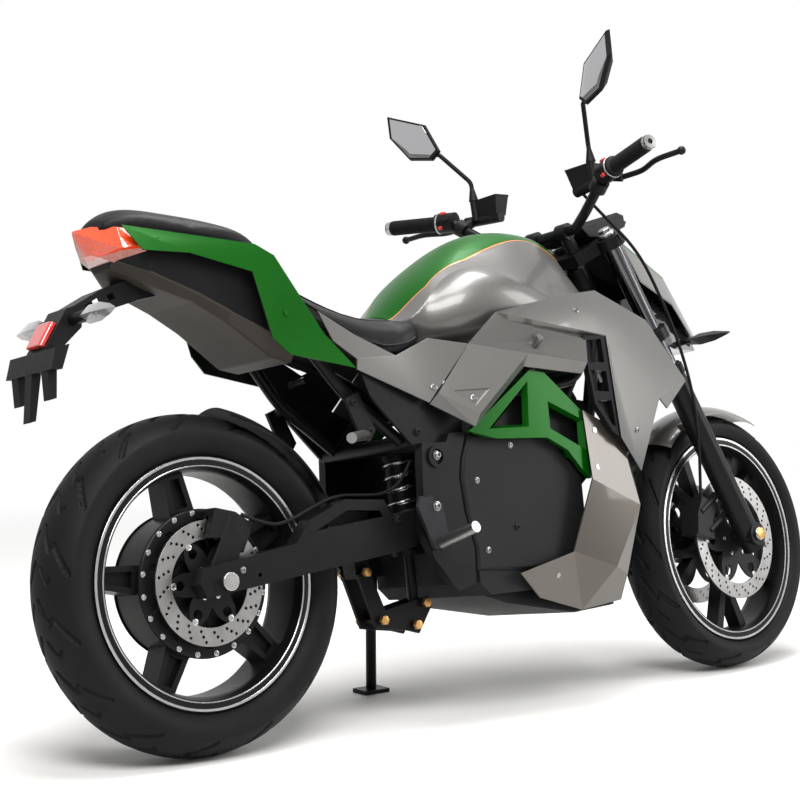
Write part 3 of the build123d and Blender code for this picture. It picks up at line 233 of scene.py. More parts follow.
def tank_paint():
    """Silver paint with the accent stripe over the crown, edged by a thin warm line."""
    material, tree, bsdf = shader("tank_paint")
    x, y, z = upright(tree)
    halves = [level(tree, x, half0, half1, x0, x1) for x0, x1, half0, half1 in (STRIPE_FOOT, STRIPE_TOP)]
    inside = calc(tree, "SUBTRACT", calc(tree, "MINIMUM", *halves), calc(tree, "ABSOLUTE", y))
    stripe = calc(tree, "GREATER_THAN", inside, 0.0)
    line = calc(tree, "LESS_THAN", calc(tree, "ABSOLUTE", inside), STRIPE_LINE / 2)
    paint = mixed(tree, stripe, cloudy(tree, SILVER, 0.05, 6.0), cloudy(tree, GREEN, 0.08, 6.0))
    feed(tree, bsdf, {
        "Base Color": mixed(tree, line, paint, AMBER), "Roughness": 0.38,
        "Metallic": level(tree, stripe, 0.5, 0.35),
        "Specular IOR Level": level(tree, stripe, 0.4, 0.15),
        "Coat Weight": level(tree, stripe, 0.30, 0.06), "Coat Roughness": PAINT_COAT_ROUGH,
        "Normal": bumped(tree, *PEEL),
    })
    return material


def painted(name, colour, centre, place, metallic, coat, shine, edged):
    """Paint on the outside of a moulded sheet, and bare black plastic on faces that look in to a centre."""
    material, tree, bsdf = shader(name)
    offset = add(tree, "VectorMath", {0: coordinate(tree), 1: place @ Vector(centre)}, operation="SUBTRACT")
    toward = facing(tree, offset.outputs["Vector"], coordinate(tree, "Normal"))
    outside = calc(tree, "GREATER_THAN", toward, -0.02)
    paint = cloudy(tree, colour, 0.06, 5.0)
    if edged:
        x, y, z = upright(tree, place)
        drop = calc(tree, "MULTIPLY", calc(tree, "SUBTRACT", x, BROW["x"]), BROW["slope"])
        rise = calc(tree, "SUBTRACT", z, drop)
        paint = mixed(tree, calc(tree, "GREATER_THAN", rise, BROW["z"] - BROW["width"]), paint, GREEN)
    smudge = texture(tree, NOISE, 14.0, Detail=4.0)
    wear = level(tree, smudge, PAINT_ROUGH - 0.03, PAINT_ROUGH + 0.04)
    feed(tree, bsdf, {
        "Base Color": mixed(tree, outside, cloudy(tree, BLACK, 0.2, 10.0), paint),
        "Roughness": calc(tree, "ADD", wear, level(tree, outside, INSIDE_ROUGHER, 0.0)),
        "Metallic": level(tree, outside, 0.0, metallic),
        "Specular IOR Level": level(tree, outside, DULL, shine),
        "Coat Weight": level(tree, outside, 0.0, coat), "Coat Roughness": PAINT_COAT_ROUGH,
        "Normal": bumped(tree, *PEEL),
    })
    return material


def aside(tree, edge):
    """Whether a point lies beyond a distance from the centre plane."""
    return calc(tree, "GREATER_THAN", calc(tree, "ABSOLUTE", upright(tree)[1]), edge)


def downward(tree, turn):
    """Whether a face looks down."""
    down = PARKED.to_3x3() @ Vector((0, 0, -1))
    return calc(tree, "GREATER_THAN", facing(tree, coordinate(tree, "Normal"), down), turn)


def two_tone(name, parting, edge, first, second, grain):
    """Two finishes, as (colour, tone spread, cloud scale, roughness, metallic), parted by a function."""
    material, tree, bsdf = shader(name)
    beyond = parting(tree, edge)
    tones = [cloudy(tree, *finish[:3]) for finish in (first, second)]
    feed(tree, bsdf, {
        "Base Color": mixed(tree, beyond, *tones), "Specular IOR Level": DULL,
        "Roughness": level(tree, beyond, first[3], second[3]),
        "Metallic": level(tree, beyond, first[4], second[4]), "Normal": bumped(tree, *grain),
    })
    return material


FINISHES = [
    # name, colour, roughness, wear, metallic, coat, specular, tone spread, cloud scale, grain
    ("silver_paint", SILVER, 0.30, 0.03, 0.6, 0.5, 0.5, 0.06, 5, PEEL),
    ("green_paint", GREEN, 0.26, 0.03, 0.35, 0.04, 0.15, 0.08, 6, PEEL),
    ("black_frame", BLACK, 0.36, 0.06, 0, 0, DULL, 0.2, 12, (NOISE, 500, 0.10, 0.0004)),
    ("black_plastic", BLACK, 0.44, 0.06, 0, 0, DULL, 0.2, 10, MOULDED),
    ("battery_cover", (0.0085, 0.0085, 0.009), 0.50, 0.05, 0, 0, DULL, 0.12, 7, (NOISE, 700, 0.10, 0.0004)),
    ("seat_vinyl", BLACK, 0.46, 0.05, 0, 0, 0.15, 0.2, 14, (CELLS, 520, 0.25, 0.0006)),
    ("tyre_rubber", (0.0045, 0.0045, 0.0048), 0.58, 0.06, 0, 0, DULL, 0.25, 16, (NOISE, 500, 0.15, 0.0005)),
    ("soft_rubber", BLACK, 0.58, 0.06, 0, 0, DULL, 0.2, 16, (NOISE, 500, 0.2, 0.0005)),
    ("bare_metal", (0.38, 0.375, 0.37), 0.26, 0.06, 1, 0, 0.5, 0.10, 20, (NOISE, 400, 0.03, 0.0003)),
    ("cast_metal", (0.007, 0.007, 0.0075), 0.38, 0.06, 0, 0, DULL, 0.25, 12, (NOISE, 500, 0.12, 0.0005)),
    # The fork tubes' chrome, painted darker: a painted reflection of dark surroundings
    ("chrome_painted_dark_reflection", (0.10, 0.10, 0.105), 0.16, 0.03, 1, 0, 0.5, 0.08, 12, (NOISE, 300, 0.02, 0.0003)),
    ("red_knob", (0.45, 0.010, 0.008), 0.35, 0.06, 0, 0.3, 0.5, 0.1, 20, (NOISE, 400, 0.05, 0.0003)),
    ("mirror_glass", (0.42, 0.42, 0.43), 0.07, 0.02, 1, 0, 0.5, 0.04, 5, None),
    ("disc_steel", (0.27, 0.265, 0.26), 0.30, 0.06, 1, 0, 0.5, 0.12, 30, (NOISE, 400, 0.04, 0.0003)),
    ("fastener", (0.22, 0.22, 0.22), 0.26, 0.06, 1, 0, 0.5, 0.10, 20, (NOISE, 300, 0.03, 0.0003)),
    ("brass", (0.50, 0.28, 0.10), 0.30, 0.06, 1, 0, 0.5, 0.12, 20, (NOISE, 300, 0.04, 0.0003)),
]
LENSES = {
    "lamp_glass": (0.02, 0.02, 0.022), "red_lens": (0.60, 0.030, 0.012), "clear_lens": CLEAR,
    "reflector_lens": (0.50, 0.020, 0.012),
}
FINISH = {row[0]: surface(*row) for row in FINISHES}
FINISH.update({name: lens(name, colour) for name, colour in LENSES.items()})

# Metallic, coat and specular of each paint
GLOSS = {SILVER: (0.6, 0.4, 0.4), COWL_SHADE_AND_FLOOR_REFLECTION: (0.6, 0.4, 0.4), GREEN: (0.35, 0.04, 0.15)}
BODY_MIDDLE = (0.05, 0.0, 0.62)
TAIL_MIDDLE = (-0.62, 0.0, 0.84)
COWL_MIDDLE = (0.12, 0.0, 0.38)
MASK_MIDDLE = (0.50, 0.0, 0.80)
SHEETS = [
    # nodes, colour, a place inside the sheets, where they are carried
    (("shroud_left", "shroud_right", "side_panel_left", "side_panel_right"), SILVER, BODY_MIDDLE, PARKED),
    # The lower cowls carry the silver paint with painted shade and a painted floor reflection
    (("lower_cowl_left", "lower_cowl_right"), COWL_SHADE_AND_FLOOR_REFLECTION, COWL_MIDDLE, PARKED),
    (("tail_panel_left", "tail_panel_right"), GREEN, TAIL_MIDDLE, PARKED),
    (("headlight_cowl",), SILVER, MASK_MIDDLE, STEERED),
    (("cowl_strip",), GREEN, MASK_MIDDLE, STEERED),
]
# Colour, tone spread, cloud scale, roughness and metallic of the pegs and the tail body
STEEL = ((0.30, 0.295, 0.29), 0.12, 20.0, 0.32, 1.0)
COATED = (BLACK, 0.2, 14.0, 0.38, 0.0)
GREY_CAST = ((0.016, 0.016, 0.018), 0.2, 14.0, 0.36, 0.0)
TAIL_SIDES = (BLACK, 0.2, 10.0, 0.40, 0.0)
# The tail body's faces that look down are painted a lighter warm brown: a painted reflection of the floor
TAIL_UNDERSIDE_FLOOR_REFLECTION = ((0.034, 0.029, 0.024), 0.15, 8.0, 0.52, 0.0)
TAIL_LOW, TAIL_HIGH = (0.50, 0.22, 0.19), (0.66, 0.050, 0.004)

NODE_FINISH = {part["node"]: FINISH[part["material_slot"]] for part in frame["record"]["subparts"]}
for sheet_nodes, sheet_colour, sheet_middle, sheet_place in SHEETS:
    for sheet in sheet_nodes:
        NODE_FINISH[sheet] = painted(sheet + "_paint", sheet_colour, sheet_middle, sheet_place,
                                     *GLOSS[sheet_colour], edged=sheet == "headlight_cowl")
NODE_FINISH.update({
    "tank": tank_paint(),
    "tail_light": lens("tail_lens", TAIL_LOW, TAIL_HIGH, "z", 0.918, 0.10, 0.75, 0.08),
    "rear_indicators": lens("indicator_lens", CLEAR, BLACK, "x", -0.924, 0.0, 0.75, 0.08),
    "rider_pegs": two_tone("rider_peg_metal", aside, 0.1885, GREY_CAST, STEEL, PEG_GRAIN),
    "pillion_pegs": two_tone("pillion_peg_metal", aside, 0.1365, COATED, STEEL, PEG_GRAIN),
    # The undertail's black sides, with a painted floor reflection on its faces that look down
    "undertail": two_tone("undertail_plastic_floor_reflection", downward, 0.3, TAIL_SIDES, TAIL_UNDERSIDE_FLOOR_REFLECTION, MOULDED),
    # Fork tubes in chrome with a painted dark reflection
    "fork_tubes": FINISH["chrome_painted_dark_reflection"],
    "reflector": FINISH["reflector_lens"],
})


# Piece helpers

def piece(name, points, faces, body, slot, material=None, sharp=35):
    """A mesh with points in the upright frame, carried by a body, in its slot's finish or another one."""
    place = np.array(PLACE[body])
    points = np.asarray(points, dtype=float) @ place[:3, :3].T + place[:3, 3]
    mesh = bpy.data.meshes.new(name)
    mesh.from_pydata(points.tolist(), [], faces)
    mesh.materials.append(material or FINISH[slot])
    mesh.polygons.foreach_set("use_smooth", [True] * len(mesh.polygons))
    mesh.set_sharp_from_angle(angle=math.radians(sharp))
    mesh.update()
    made = placed(name, mesh)
    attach(made, body)
    return made


def placed(name, data):
    """A new object in the scene."""
    made = bpy.data.objects.new(name, data)
    bpy.context.scene.collection.objects.link(made)
    return made


def ring_faces(rows, around, start=0, closed=True):
    """Quads between rows of points that each go round once; closed joins the last row to the first."""
    faces = []
    for i in range(rows if closed else rows - 1):
        low, high = start + i * around, start + (i + 1) % rows * around
        faces += [(low + j, low + (j + 1) % around, high + (j + 1) % around, high + j) for j in range(around)]
    return faces


def turns(count):
    return [2 * math.pi * k / count for k in range(count)]


def polar(radius, angle, centre=(0, 0)):
    return centre[0] + radius * math.cos(angle), centre[1] + radius * math.sin(angle)


def mirrored(point, side):
    return Vector((point.x, side * point.y, point.z))


def frame_of(direction):
    """Two directions square to a direction."""
    direction = Vector(direction).normalized()
    side = direction.cross(Vector((0, 0, 1)) if abs(direction.z) < 0.9 else Vector((1, 0, 0))).normalized()
    return side, direction.cross(side)


def ring(centre, axes, radius, count):
    """Points round a circle in the plane of two directions."""
    return [centre + (axes[0] * math.cos(a) + axes[1] * math.sin(a)) * radius for a in turns(count)]


# Turned heads: radius and height as shares of their sizes
SOCKET_HEAD = [(1.5, -0.3), (1.5, 0.22), (1.35, 0.3), (1.0, 0.3), (1.0, 0.72), (0.82, 0.95),
               (0.52, 0.95), (0.46, 0.45), (0.02, 0.42)]
HEX_HEAD = [(1.0, 0.0), (1.0, 0.78), (0.88, 1.0), (0.5, 1.06), (0.02, 1.08)]


class Stock:
    """Points and faces gathered for one piece."""

    def __init__(self):
        self.points, self.faces = [], []

    def loft(self, loops, closed=False):
        """A form through loops of equal count, capped at its ends unless it closes on itself."""
        start, around = len(self.points), len(loops[0])
        self.points += [Vector(p) for loop in loops for p in loop]
        self.faces += ring_faces(len(loops), around, start, closed)
        if not closed:
            last = start + (len(loops) - 1) * around
            self.faces.append(tuple(reversed(range(start, start + around))))
            self.faces.append(tuple(range(last, last + around)))

    def lathe(self, origin, direction, profile, around=24, closed=False):
        """A turned form from (radius, along) rows."""
        axes = frame_of(direction)
        along = Vector(direction).normalized()
        rings = [ring(Vector(origin) + along * step, axes, radius, around) for radius, step in profile]
        self.loft(rings, closed)

    def bolt(self, place, direction, radius):
        """A low socket-head screw on a washer."""
        self.lathe(place, direction, [(r * radius, a * radius) for r, a in SOCKET_HEAD], 18)

    def hexagon(self, place, direction, radius, height):
        """A six-sided head with a turned chamfer and a domed end."""
        self.lathe(place, direction, [(r * radius, a * height) for r, a in HEX_HEAD], 6)

    def tube(self, path, radius, around=10):
        """A round strand along a path of points."""
        path = [Vector(p) for p in path]
        side = None
        loops = []
        for i, point in enumerate(path):
            ahead = (path[min(i + 1, len(path) - 1)] - path[max(i - 1, 0)]).normalized()
            side = frame_of(ahead)[0] if side is None else (side - ahead * side.dot(ahead)).normalized()
            loops.append(ring(point, (side, ahead.cross(side)), radius, around))
        self.loft(loops)

    def made(self, name, body, slot, material=None, sharp=35):
        return piece(name, [tuple(p) for p in self.points], self.faces, body, slot, material, sharp)


TREES = {}
SKINS = {}


def on_side(name, x, z, side):
    """Where a line from a side, at x and z, first meets a chassis node or its skin, and the normal there."""
    if name not in TREES:
        node = SKINS.get(name, NODES[name])
        corners = [node.matrix_world @ v.co for v in node.data.vertices]
        TREES[name] = BVHTree.FromPolygons(corners, [p.vertices[:] for p in node.data.polygons])
    turn = PARKED.to_3x3()
    start, ahead = PARKED @ Vector((x, side * 0.6, z)), turn @ Vector((0, -side, 0))
    hit, normal, _, _ = TREES[name].ray_cast(start, ahead)
    if hit is None:
        raise ValueError(f"no point of {name} at {x}, {z}")
    return PARKED.inverted() @ hit, turn.inverted() @ normal


def nurbs(name, points, resolution):
    """A smooth curve that has the given points as its control points."""
    data = bpy.data.curves.new(name, "CURVE")
    data.dimensions = "3D"
    spline = data.splines.new("NURBS")
    spline.points.add(len(points) - 1)
    for knot, point in zip(spline.points, points):
        knot.co = (*point, 1)
    spline.order_u = 3
    spline.use_endpoint_u = True
    spline.resolution_u = resolution
    return data


def curve_mesh(data):
    """The points and faces of a curve, which is then removed."""
    holder = bpy.data.objects.new(data.name, data)
    mesh = bpy.data.meshes.new_from_object(holder)
    points = [v.co.copy() for v in mesh.vertices]
    faces = [tuple(p.vertices) for p in mesh.polygons]
    bpy.data.objects.remove(holder)
    bpy.data.meshes.remove(mesh)
    bpy.data.curves.remove(data)
    return points, faces


def rounded(made, width, degrees):
    """Small round edges on a piece."""
    edge = made.modifiers.new("edge", "BEVEL")
    edge.width = width
    edge.segments = 2
    edge.limit_method = "ANGLE"
    edge.angle_limit = math.radians(degrees)


def weighted(made):
    made.modifiers.new("normals", "WEIGHTED_NORMAL").keep_sharp = True


# Tyres with a cut tread, rims with bright lips

TREAD_STEPS = 760
TREAD_ROWS = 61
WALL_ROWS = 12
GROOVE_DEPTH = 0.0042
GROOVE_EDGE = 0.0012
GROOVE_WIDTH = 0.0075
SIPE_WIDTH = 0.0045
# Groove runs in one repeat: share of the repeat, share of the tread's half width
REAR_RUNS = [(0.00, 0.07), (0.34, 0.34), (0.25, 0.47), (0.66, 0.90)]
REAR_SIPE = [(0.56, 0.14), (0.80, 0.36), (0.72, 0.44)]
FRONT_RUNS = [(0.00, 0.05), (0.40, 0.38), (0.30, 0.50), (0.72, 0.92)]
FRONT_SIPE = [(0.62, 0.16), (0.86, 0.40)]
# Bright rings on a rim: inner radius, outer radius, how far it stands out
RIM_RINGS = [(0.2262, 0.2318, 0.0), (0.2135, 0.2165, 0.0006)]
RIM_FLANGE = 0.0062


def arc_points(first, middle, last, count):
    """Points along the arc through three points of a plane."""
    (ax, ay), (bx, by), (cx, cy) = first, middle, last
    d = 2 * (ax * (by - cy) + bx * (cy - ay) + cx * (ay - by))
    ux = ((ax**2 + ay**2) * (by - cy) + (bx**2 + by**2) * (cy - ay) + (cx**2 + cy**2) * (ay - by)) / d
    uy = ((ax**2 + ay**2) * (cx - bx) + (bx**2 + by**2) * (ax - cx) + (cx**2 + cy**2) * (bx - ax)) / d
    angles = np.unwrap([math.atan2(y - uy, x - ux) for x, y in (first, middle, last)])
    radius = math.hypot(ax - ux, ay - uy)
    steps = np.linspace(angles[0], angles[2], count)
    return np.column_stack([ux + radius * np.cos(steps), uy + radius * np.sin(steps)])


def tyre_profile(radius, half, rim_half):
    """The closed (radius, y) outline of a tyre, and which of its rows are tread."""
    shoulder = (radius - 0.49 * half, half)
    wall = (0.5 * (LIP_R + shoulder[0]), half - 0.001)
    foot = rim_half - 0.0005
    rim_top = (LIP_R + 0.002, foot)
    flip = np.array([1.0, -1.0])
    right = arc_points(rim_top, wall, shoulder, WALL_ROWS)
    tread = arc_points(shoulder, (radius, 0.0), (shoulder[0], -half), TREAD_ROWS)
    left = right[::-1] * flip
    bead = np.array([[BEAD_R + 0.0003, foot]])
    outline = np.vstack([bead, right[:-1], tread, left[1:], bead * flip])
    first = len(right)
    return outline, slice(first, first + TREAD_ROWS)


def groove_cut(along, across, half, repeat, runs, width):
    """How deep the tread is cut, from runs that repeat round the tyre and swap sides half way."""
    nearest = np.full(along.shape, np.inf)
    for side, shift in ((1, 0.0), (-1, 0.5)):
        for start, end in zip(runs[:-1], runs[1:]):
            for lap in (-1, 0, 1):
                a = np.array([(start[0] + shift + lap) * repeat, side * start[1] * half])
                b = np.array([(end[0] + shift + lap) * repeat, side * end[1] * half])
                run = b - a
                share = ((along - a[0]) * run[0] + (across - a[1]) * run[1]) / (run @ run)
                share = np.clip(share, 0, 1)
                gap = np.hypot(along - a[0] - share * run[0], across - a[1] - share * run[1])
                nearest = np.minimum(nearest, gap)
    return np.clip((width / 2 + GROOVE_EDGE - nearest) / GROOVE_EDGE, 0, 1)


def tyre(name, node, body, sizes, repeats, runs, sipe):
    centre, radius, half = sizes["centre"], sizes["radius"], sizes["half"]
    outline, tread = tyre_profile(radius, half, sizes["rim_half"])
    rows = len(outline)
    angles = np.arange(TREAD_STEPS) * 2 * math.pi / TREAD_STEPS
    travel = np.gradient(outline, axis=0)
    normal = np.column_stack([-travel[:, 1], travel[:, 0]])
    normal /= np.linalg.norm(normal, axis=1)[:, None]
    lengths = np.hypot(*np.diff(outline[tread], axis=0).T)
    across = np.concatenate([[0], np.cumsum(lengths)])
    tread_half = across[-1] / 2
    across = tread_half - across
    repeat = 2 * math.pi * radius / repeats
    along = np.mod(angles * radius, repeat)
    grid = np.meshgrid(along, across)
    cut = np.zeros((rows, TREAD_STEPS))
    deep = groove_cut(*grid, tread_half, repeat, runs, GROOVE_WIDTH)
    fine = groove_cut(*grid, tread_half, repeat, sipe, SIPE_WIDTH)
    cut[tread] = np.maximum(deep, fine) * GROOVE_DEPTH
    inward = np.abs(normal)[:, :, None] * cut[:, None, :]
    r = outline[:, 0][:, None] - inward[:, 0]
    y = outline[:, 1][:, None] - np.sign(outline[:, 1])[:, None] * inward[:, 1]
    points = np.stack([centre.x + r * np.cos(angles), y, centre.z + r * np.sin(angles)], -1)
    made = piece(name, points.reshape(-1, 3), ring_faces(rows, TREAD_STEPS), body, "tyre_rubber")
    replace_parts(made, node)


def rim_lips(name, body, sizes):
    """Two bright turned rings on each edge of the rim."""
    stock = Stock()
    for side in (1, -1):
        for inner, outer, proud in RIM_RINGS:
            edge = sizes["rim_half"] + RIM_FLANGE + proud
            rows = [(inner, edge - 0.002), (outer, edge - 0.002), (outer, edge + 0.0002),
                    (outer - 0.0008, edge + 0.0009), (inner + 0.0008, edge + 0.0009), (inner, edge + 0.0002)]
            stock.lathe(sizes["centre"], (0, side, 0), rows, 120, True)
    stock.made(name, body, "bare_metal")


tyre("rear_tyre_tread", "rear_tyre", "rear_wheel_set", REAR_TYRE, 15, REAR_RUNS, REAR_SIPE)
tyre("front_tyre_tread", "front_tyre", "front_wheel_set", FRONT_TYRE, 14, FRONT_RUNS, FRONT_SIPE)
rim_lips("rear_rim_lips", "rear_wheel_set", REAR_TYRE)
rim_lips("front_rim_lips", "front_wheel_set", FRONT_TYRE)


# Brake discs: a drilled band on a scalloped carrier

HOLE_R = 0.0031
# Holes in a row: share of the band, lag in degrees
HOLE_ROW = [(0.26, 0.0), (0.52, 4.0), (0.78, 8.0)]
# A flat rivet head: radius as a share of its size, height
RIVET = [(1.5, -0.0010), (1.5, 0.0003), (1.3, 0.0007), (0.9, 0.0008), (0.8, 0.0004), (0.02, 0.0004)]
DISC_BORE = 0.0135
CARRIER_ARMS = 6
CARRIER_STEPS = 180
DISCS = [
    # piece, node, body, axle, radius, middles, rows of holes, hub radius
    ("rear_disc_drilled", "rear_disc", "rear_wheel_set", REAR_AXLE, 0.115, [-0.0655], 20, 0.034),
    ("front_discs_drilled", "front_discs", "front_wheel_set", FRONT_AXLE, 0.140, [0.060, -0.060], 24, 0.046),
]


def circle(radius, count, centre=(0, 0)):
    return [polar(radius, angle, centre) for angle in turns(count)]


def plate_mesh(loops, thick):
    """A flat plate between closed loops, with softened edges, as points and faces."""
    data = bpy.data.curves.new("plate", "CURVE")
    data.dimensions = "2D"
    data.fill_mode = "BOTH"
    data.bevel_depth = 0.0004
    data.extrude = thick / 2 - data.bevel_depth
    data.offset = -data.bevel_depth
    for loop in loops:
        spline = data.splines.new("POLY")
        spline.points.add(len(loop) - 1)
        for knot, (u, v) in zip(spline.points, loop):
            knot.co = (u, v, 0, 1)
        spline.use_cyclic_u = True
    return curve_mesh(data)


def flat_plates(name, loops, thick, centre, middles, body, slot, material=None):
    """Plates square to the axle, one at each y in middles."""
    flat, flat_faces = plate_mesh(loops, thick)
    points, faces = [], []
    for y in middles:
        start = len(points)
        points += [(centre.x + u, y - w, centre.z + v) for u, v, w in flat]
        faces += [tuple(start + k for k in face) for face in flat_faces]
    return piece(name, points, faces, body, slot, material)


def brake_disc(name, node, body, centre, radius, middles, rows, hub_r):
    inner = radius - DISC_BAND
    band = [circle(radius, 120), circle(inner, 96)]
    for k in range(rows):
        for share, lag in HOLE_ROW:
            place = polar(inner + share * DISC_BAND, math.radians(k * 360 / rows + lag))
            band.append(circle(HOLE_R, 12, place))
    made = flat_plates(name, band, DISC_THICK, centre, middles, body, "bare_metal", FINISH["disc_steel"])
    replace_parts(made, node)
    foot, reach = hub_r + 0.010, inner + 0.003
    outline = []
    for angle in turns(CARRIER_STEPS):
        lobe = 0.5 + 0.5 * math.cos(CARRIER_ARMS * angle)
        outline.append(polar(foot + (reach - foot) * lobe ** 0.6, angle))
    arms = turns(CARRIER_ARMS)
    windows = [circle(0.20 * (inner - hub_r), 20, polar(0.55 * (hub_r + inner), angle)) for angle in arms]
    loops = [outline, circle(DISC_BORE, 40)] + windows
    flat_plates(name + "_carrier", loops, DISC_THICK - 0.0006, centre, middles, body, "cast_metal")
    rivets = Stock()
    for y in middles:
        side = math.copysign(1, y)
        for angle in arms:
            for from_axle, size in ((inner - 0.0035, 0.0042), (hub_r - 0.005, 0.0030)):
                u, v = polar(from_axle, angle)
                face = centre + Vector((u, y + side * DISC_THICK / 2, v))
                rivets.lathe(face, (0, side, 0), [(size * r, along) for r, along in RIVET], 18)
    rivets.made(name + "_rivets", body, "bare_metal")


for disc in DISCS:
    brake_disc(*disc)


# Seats: padded covers blown up by cloth pressure over their shells

VOXEL = 0.005
PRESSURE = 4.0
CLOTH_STEPS = 20
PAD_SHRINK = 0.003
PAD_REACH = 0.006
UNDERSIDE = -0.55


def evaluated_mesh(holder):
    return bpy.data.meshes.new_from_object(holder.evaluated_get(bpy.context.evaluated_depsgraph_get()))


def vertex_rows(mesh, key):
    """A vector of each vertex, as rows."""
    rows = np.empty(len(mesh.vertices) * 3)
    mesh.vertices.foreach_get(key, rows)
    return rows.reshape(-1, 3)


def cushion(name, node):
    """A closed pad: the node's form drawn in, remeshed, blown up with its underside held, and smoothed."""
    source = NODES[node]
    mesh = source.data.copy()
    mesh.transform(source.matrix_world)
    mesh.materials.clear()
    pad = placed(name, mesh)
    remesh = pad.modifiers.new("remesh", "REMESH")
    remesh.mode = "VOXEL"
    remesh.voxel_size = VOXEL
    pad.modifiers.new("even", "SMOOTH").iterations = 4
    pad.data = evaluated_mesh(pad)
    pad.modifiers.clear()
    places, normals = vertex_rows(pad.data, "co"), vertex_rows(pad.data, "normal")
    under = normals @ np.array(PARKED.to_3x3() @ Vector((0, 0, 1))) < UNDERSIDE
    places = places - normals * np.where(under, 0, PAD_SHRINK)[:, None]
    pad.data.vertices.foreach_set("co", places.ravel())
    held = pad.vertex_groups.new(name="held")
    held.add(np.nonzero(under)[0].tolist(), 1.0, "REPLACE")
    cloth = pad.modifiers.new("cloth", "CLOTH")
    cloth.settings.use_pressure = True
    cloth.settings.uniform_pressure_force = PRESSURE
    cloth.settings.vertex_group_mass = held.name
    cloth.settings.effector_weights.gravity = 0
    for step in range(1, CLOTH_STEPS + 1):
        bpy.context.scene.frame_set(step)
    blown = evaluated_mesh(pad)
    pad.modifiers.clear()
    bpy.context.scene.frame_set(1)
    swell = vertex_rows(blown, "co") - places
    reach = np.linalg.norm(swell, axis=1)
    swell *= np.minimum(1, PAD_REACH / np.maximum(reach, 1e-9))[:, None]
    pad.data.vertices.foreach_set("co", (places + swell).ravel())
    pad.data.materials.append(FINISH["seat_vinyl"])
    pad.data.polygons.foreach_set("use_smooth", [True] * len(pad.data.polygons))
    pad.data.update()
    pad.modifiers.new("soften", "SMOOTH").iterations = 3
    finer = pad.modifiers.new("finer", "SUBSURF")
    finer.levels = finer.render_levels = 1
    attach(pad, "chassis")
    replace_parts(pad, node)
    return pad


def seam(stock, pad, points, radius):
    """A piped seam that lies on a pad, from rough places beside it, on both sides of the machine."""
    mesh = evaluated_mesh(pad)
    tree = BVHTree.FromPolygons([v.co.copy() for v in mesh.vertices], [p.vertices[:] for p in mesh.polygons])
    rough_path, _ = curve_mesh(nurbs("path", points, 10))
    for side in (1, -1):
        path = []
        for point in rough_path:
            hit, normal, _, _ = tree.find_nearest(PARKED @ mirrored(point, side))
            path.append(PARKED.inverted() @ (hit + normal * radius * 0.25))
        stock.tube(path, radius)


rider_pad = cushion("rider_seat_pad", "rider_seat")
cushion("pillion_seat_pad", "pillion_seat")
RIDER_PIPING = [(-0.476, 0.100, 0.846), (-0.455, 0.118, 0.820), (-0.400, 0.140, 0.775),
                (-0.334, 0.152, 0.737), (-0.265, 0.150, 0.735), (-0.228, 0.140, 0.752)]
RIDER_STITCH = [(-0.478, 0.072, 0.858), (-0.440, 0.084, 0.834), (-0.380, 0.096, 0.800),
                (-0.310, 0.098, 0.778), (-0.250, 0.080, 0.780), (-0.214, 0.052, 0.790)]
piping = Stock()
seam(piping, rider_pad, RIDER_PIPING, 0.0026)
seam(piping, rider_pad, RIDER_STITCH, 0.0016)
piping.made("seat_piping", "chassis", "seat_vinyl")


# Moulded skins: the tail's shallow trough, the folded lower cowls and dark cheeks inside the accent frame

FOLD_DEG = 8
TAIL_ROWS = [
    # x, top, half top, side, half side, low, half low
    (-0.842, 0.952, 0.044, 0.914, 0.044, 0.897, 0.026),
    (-0.792, 0.952, 0.092, 0.884, 0.090, 0.868, 0.060),
    (-0.700, 0.940, 0.106, 0.842, 0.100, 0.830, 0.078),
    (-0.636, 0.930, 0.112, 0.808, 0.106, 0.792, 0.084),
    (-0.545, 0.898, 0.120, 0.760, 0.116, 0.722, 0.092),
    (-0.500, 0.814, 0.120, 0.742, 0.116, 0.712, 0.090),
]
ARM_ROOT_OUTLINE = [(-0.832, 0.870), (-0.792, 0.884), (-0.740, 0.884),
                    (-0.740, 0.851), (-0.792, 0.8405), (-0.832, 0.8315)]
ARM_ROOT_HALF = 0.0298
SHEET = 0.004
COWL_CORNERS = {
    "back_top": (0.139, 0.200, 0.589), "top": (0.200, 0.198, 0.561), "shoulder": (0.259, 0.188, 0.510),
    "front": (0.298, 0.172, 0.438), "waist": (0.273, 0.205, 0.385), "knee": (0.188, 0.205, 0.264),
    "nose": (0.249, 0.170, 0.242), "nose_low": (0.243, 0.150, 0.192), "keel": (0.130, 0.150, 0.182),
    "keel_rear": (0.002, 0.168, 0.218), "heel": (-0.064, 0.190, 0.272), "sill": (0.080, 0.196, 0.303),
    "back": (0.141, 0.208, 0.446), "face_top": (0.296, 0.092, 0.440), "face_low": (0.262, 0.062, 0.205),
}
COWL_FACETS = [
    ("back_top", "top", "back"), ("top", "shoulder", "waist", "back"), ("shoulder", "front", "waist"),
    ("back", "waist", "knee"), ("waist", "nose", "knee"), ("back", "knee", "sill"), ("sill", "knee", "keel"),
    ("knee", "nose", "nose_low", "keel"), ("sill", "keel", "keel_rear", "heel"),
    ("front", "face_top", "face_low", "nose_low", "nose", "waist"),
]
CHEEK_OUTLINE = [(-0.110, 0.540), (0.000, 0.626), (0.070, 0.630), (0.182, 0.610), (0.196, 0.560),
                 (0.196, 0.470), (0.140, 0.430), (0.020, 0.430)]
CHEEK_Y = (0.151, 0.163)


def soften(made, width):
    rounded(made, width, FOLD_DEG)
    weighted(made)


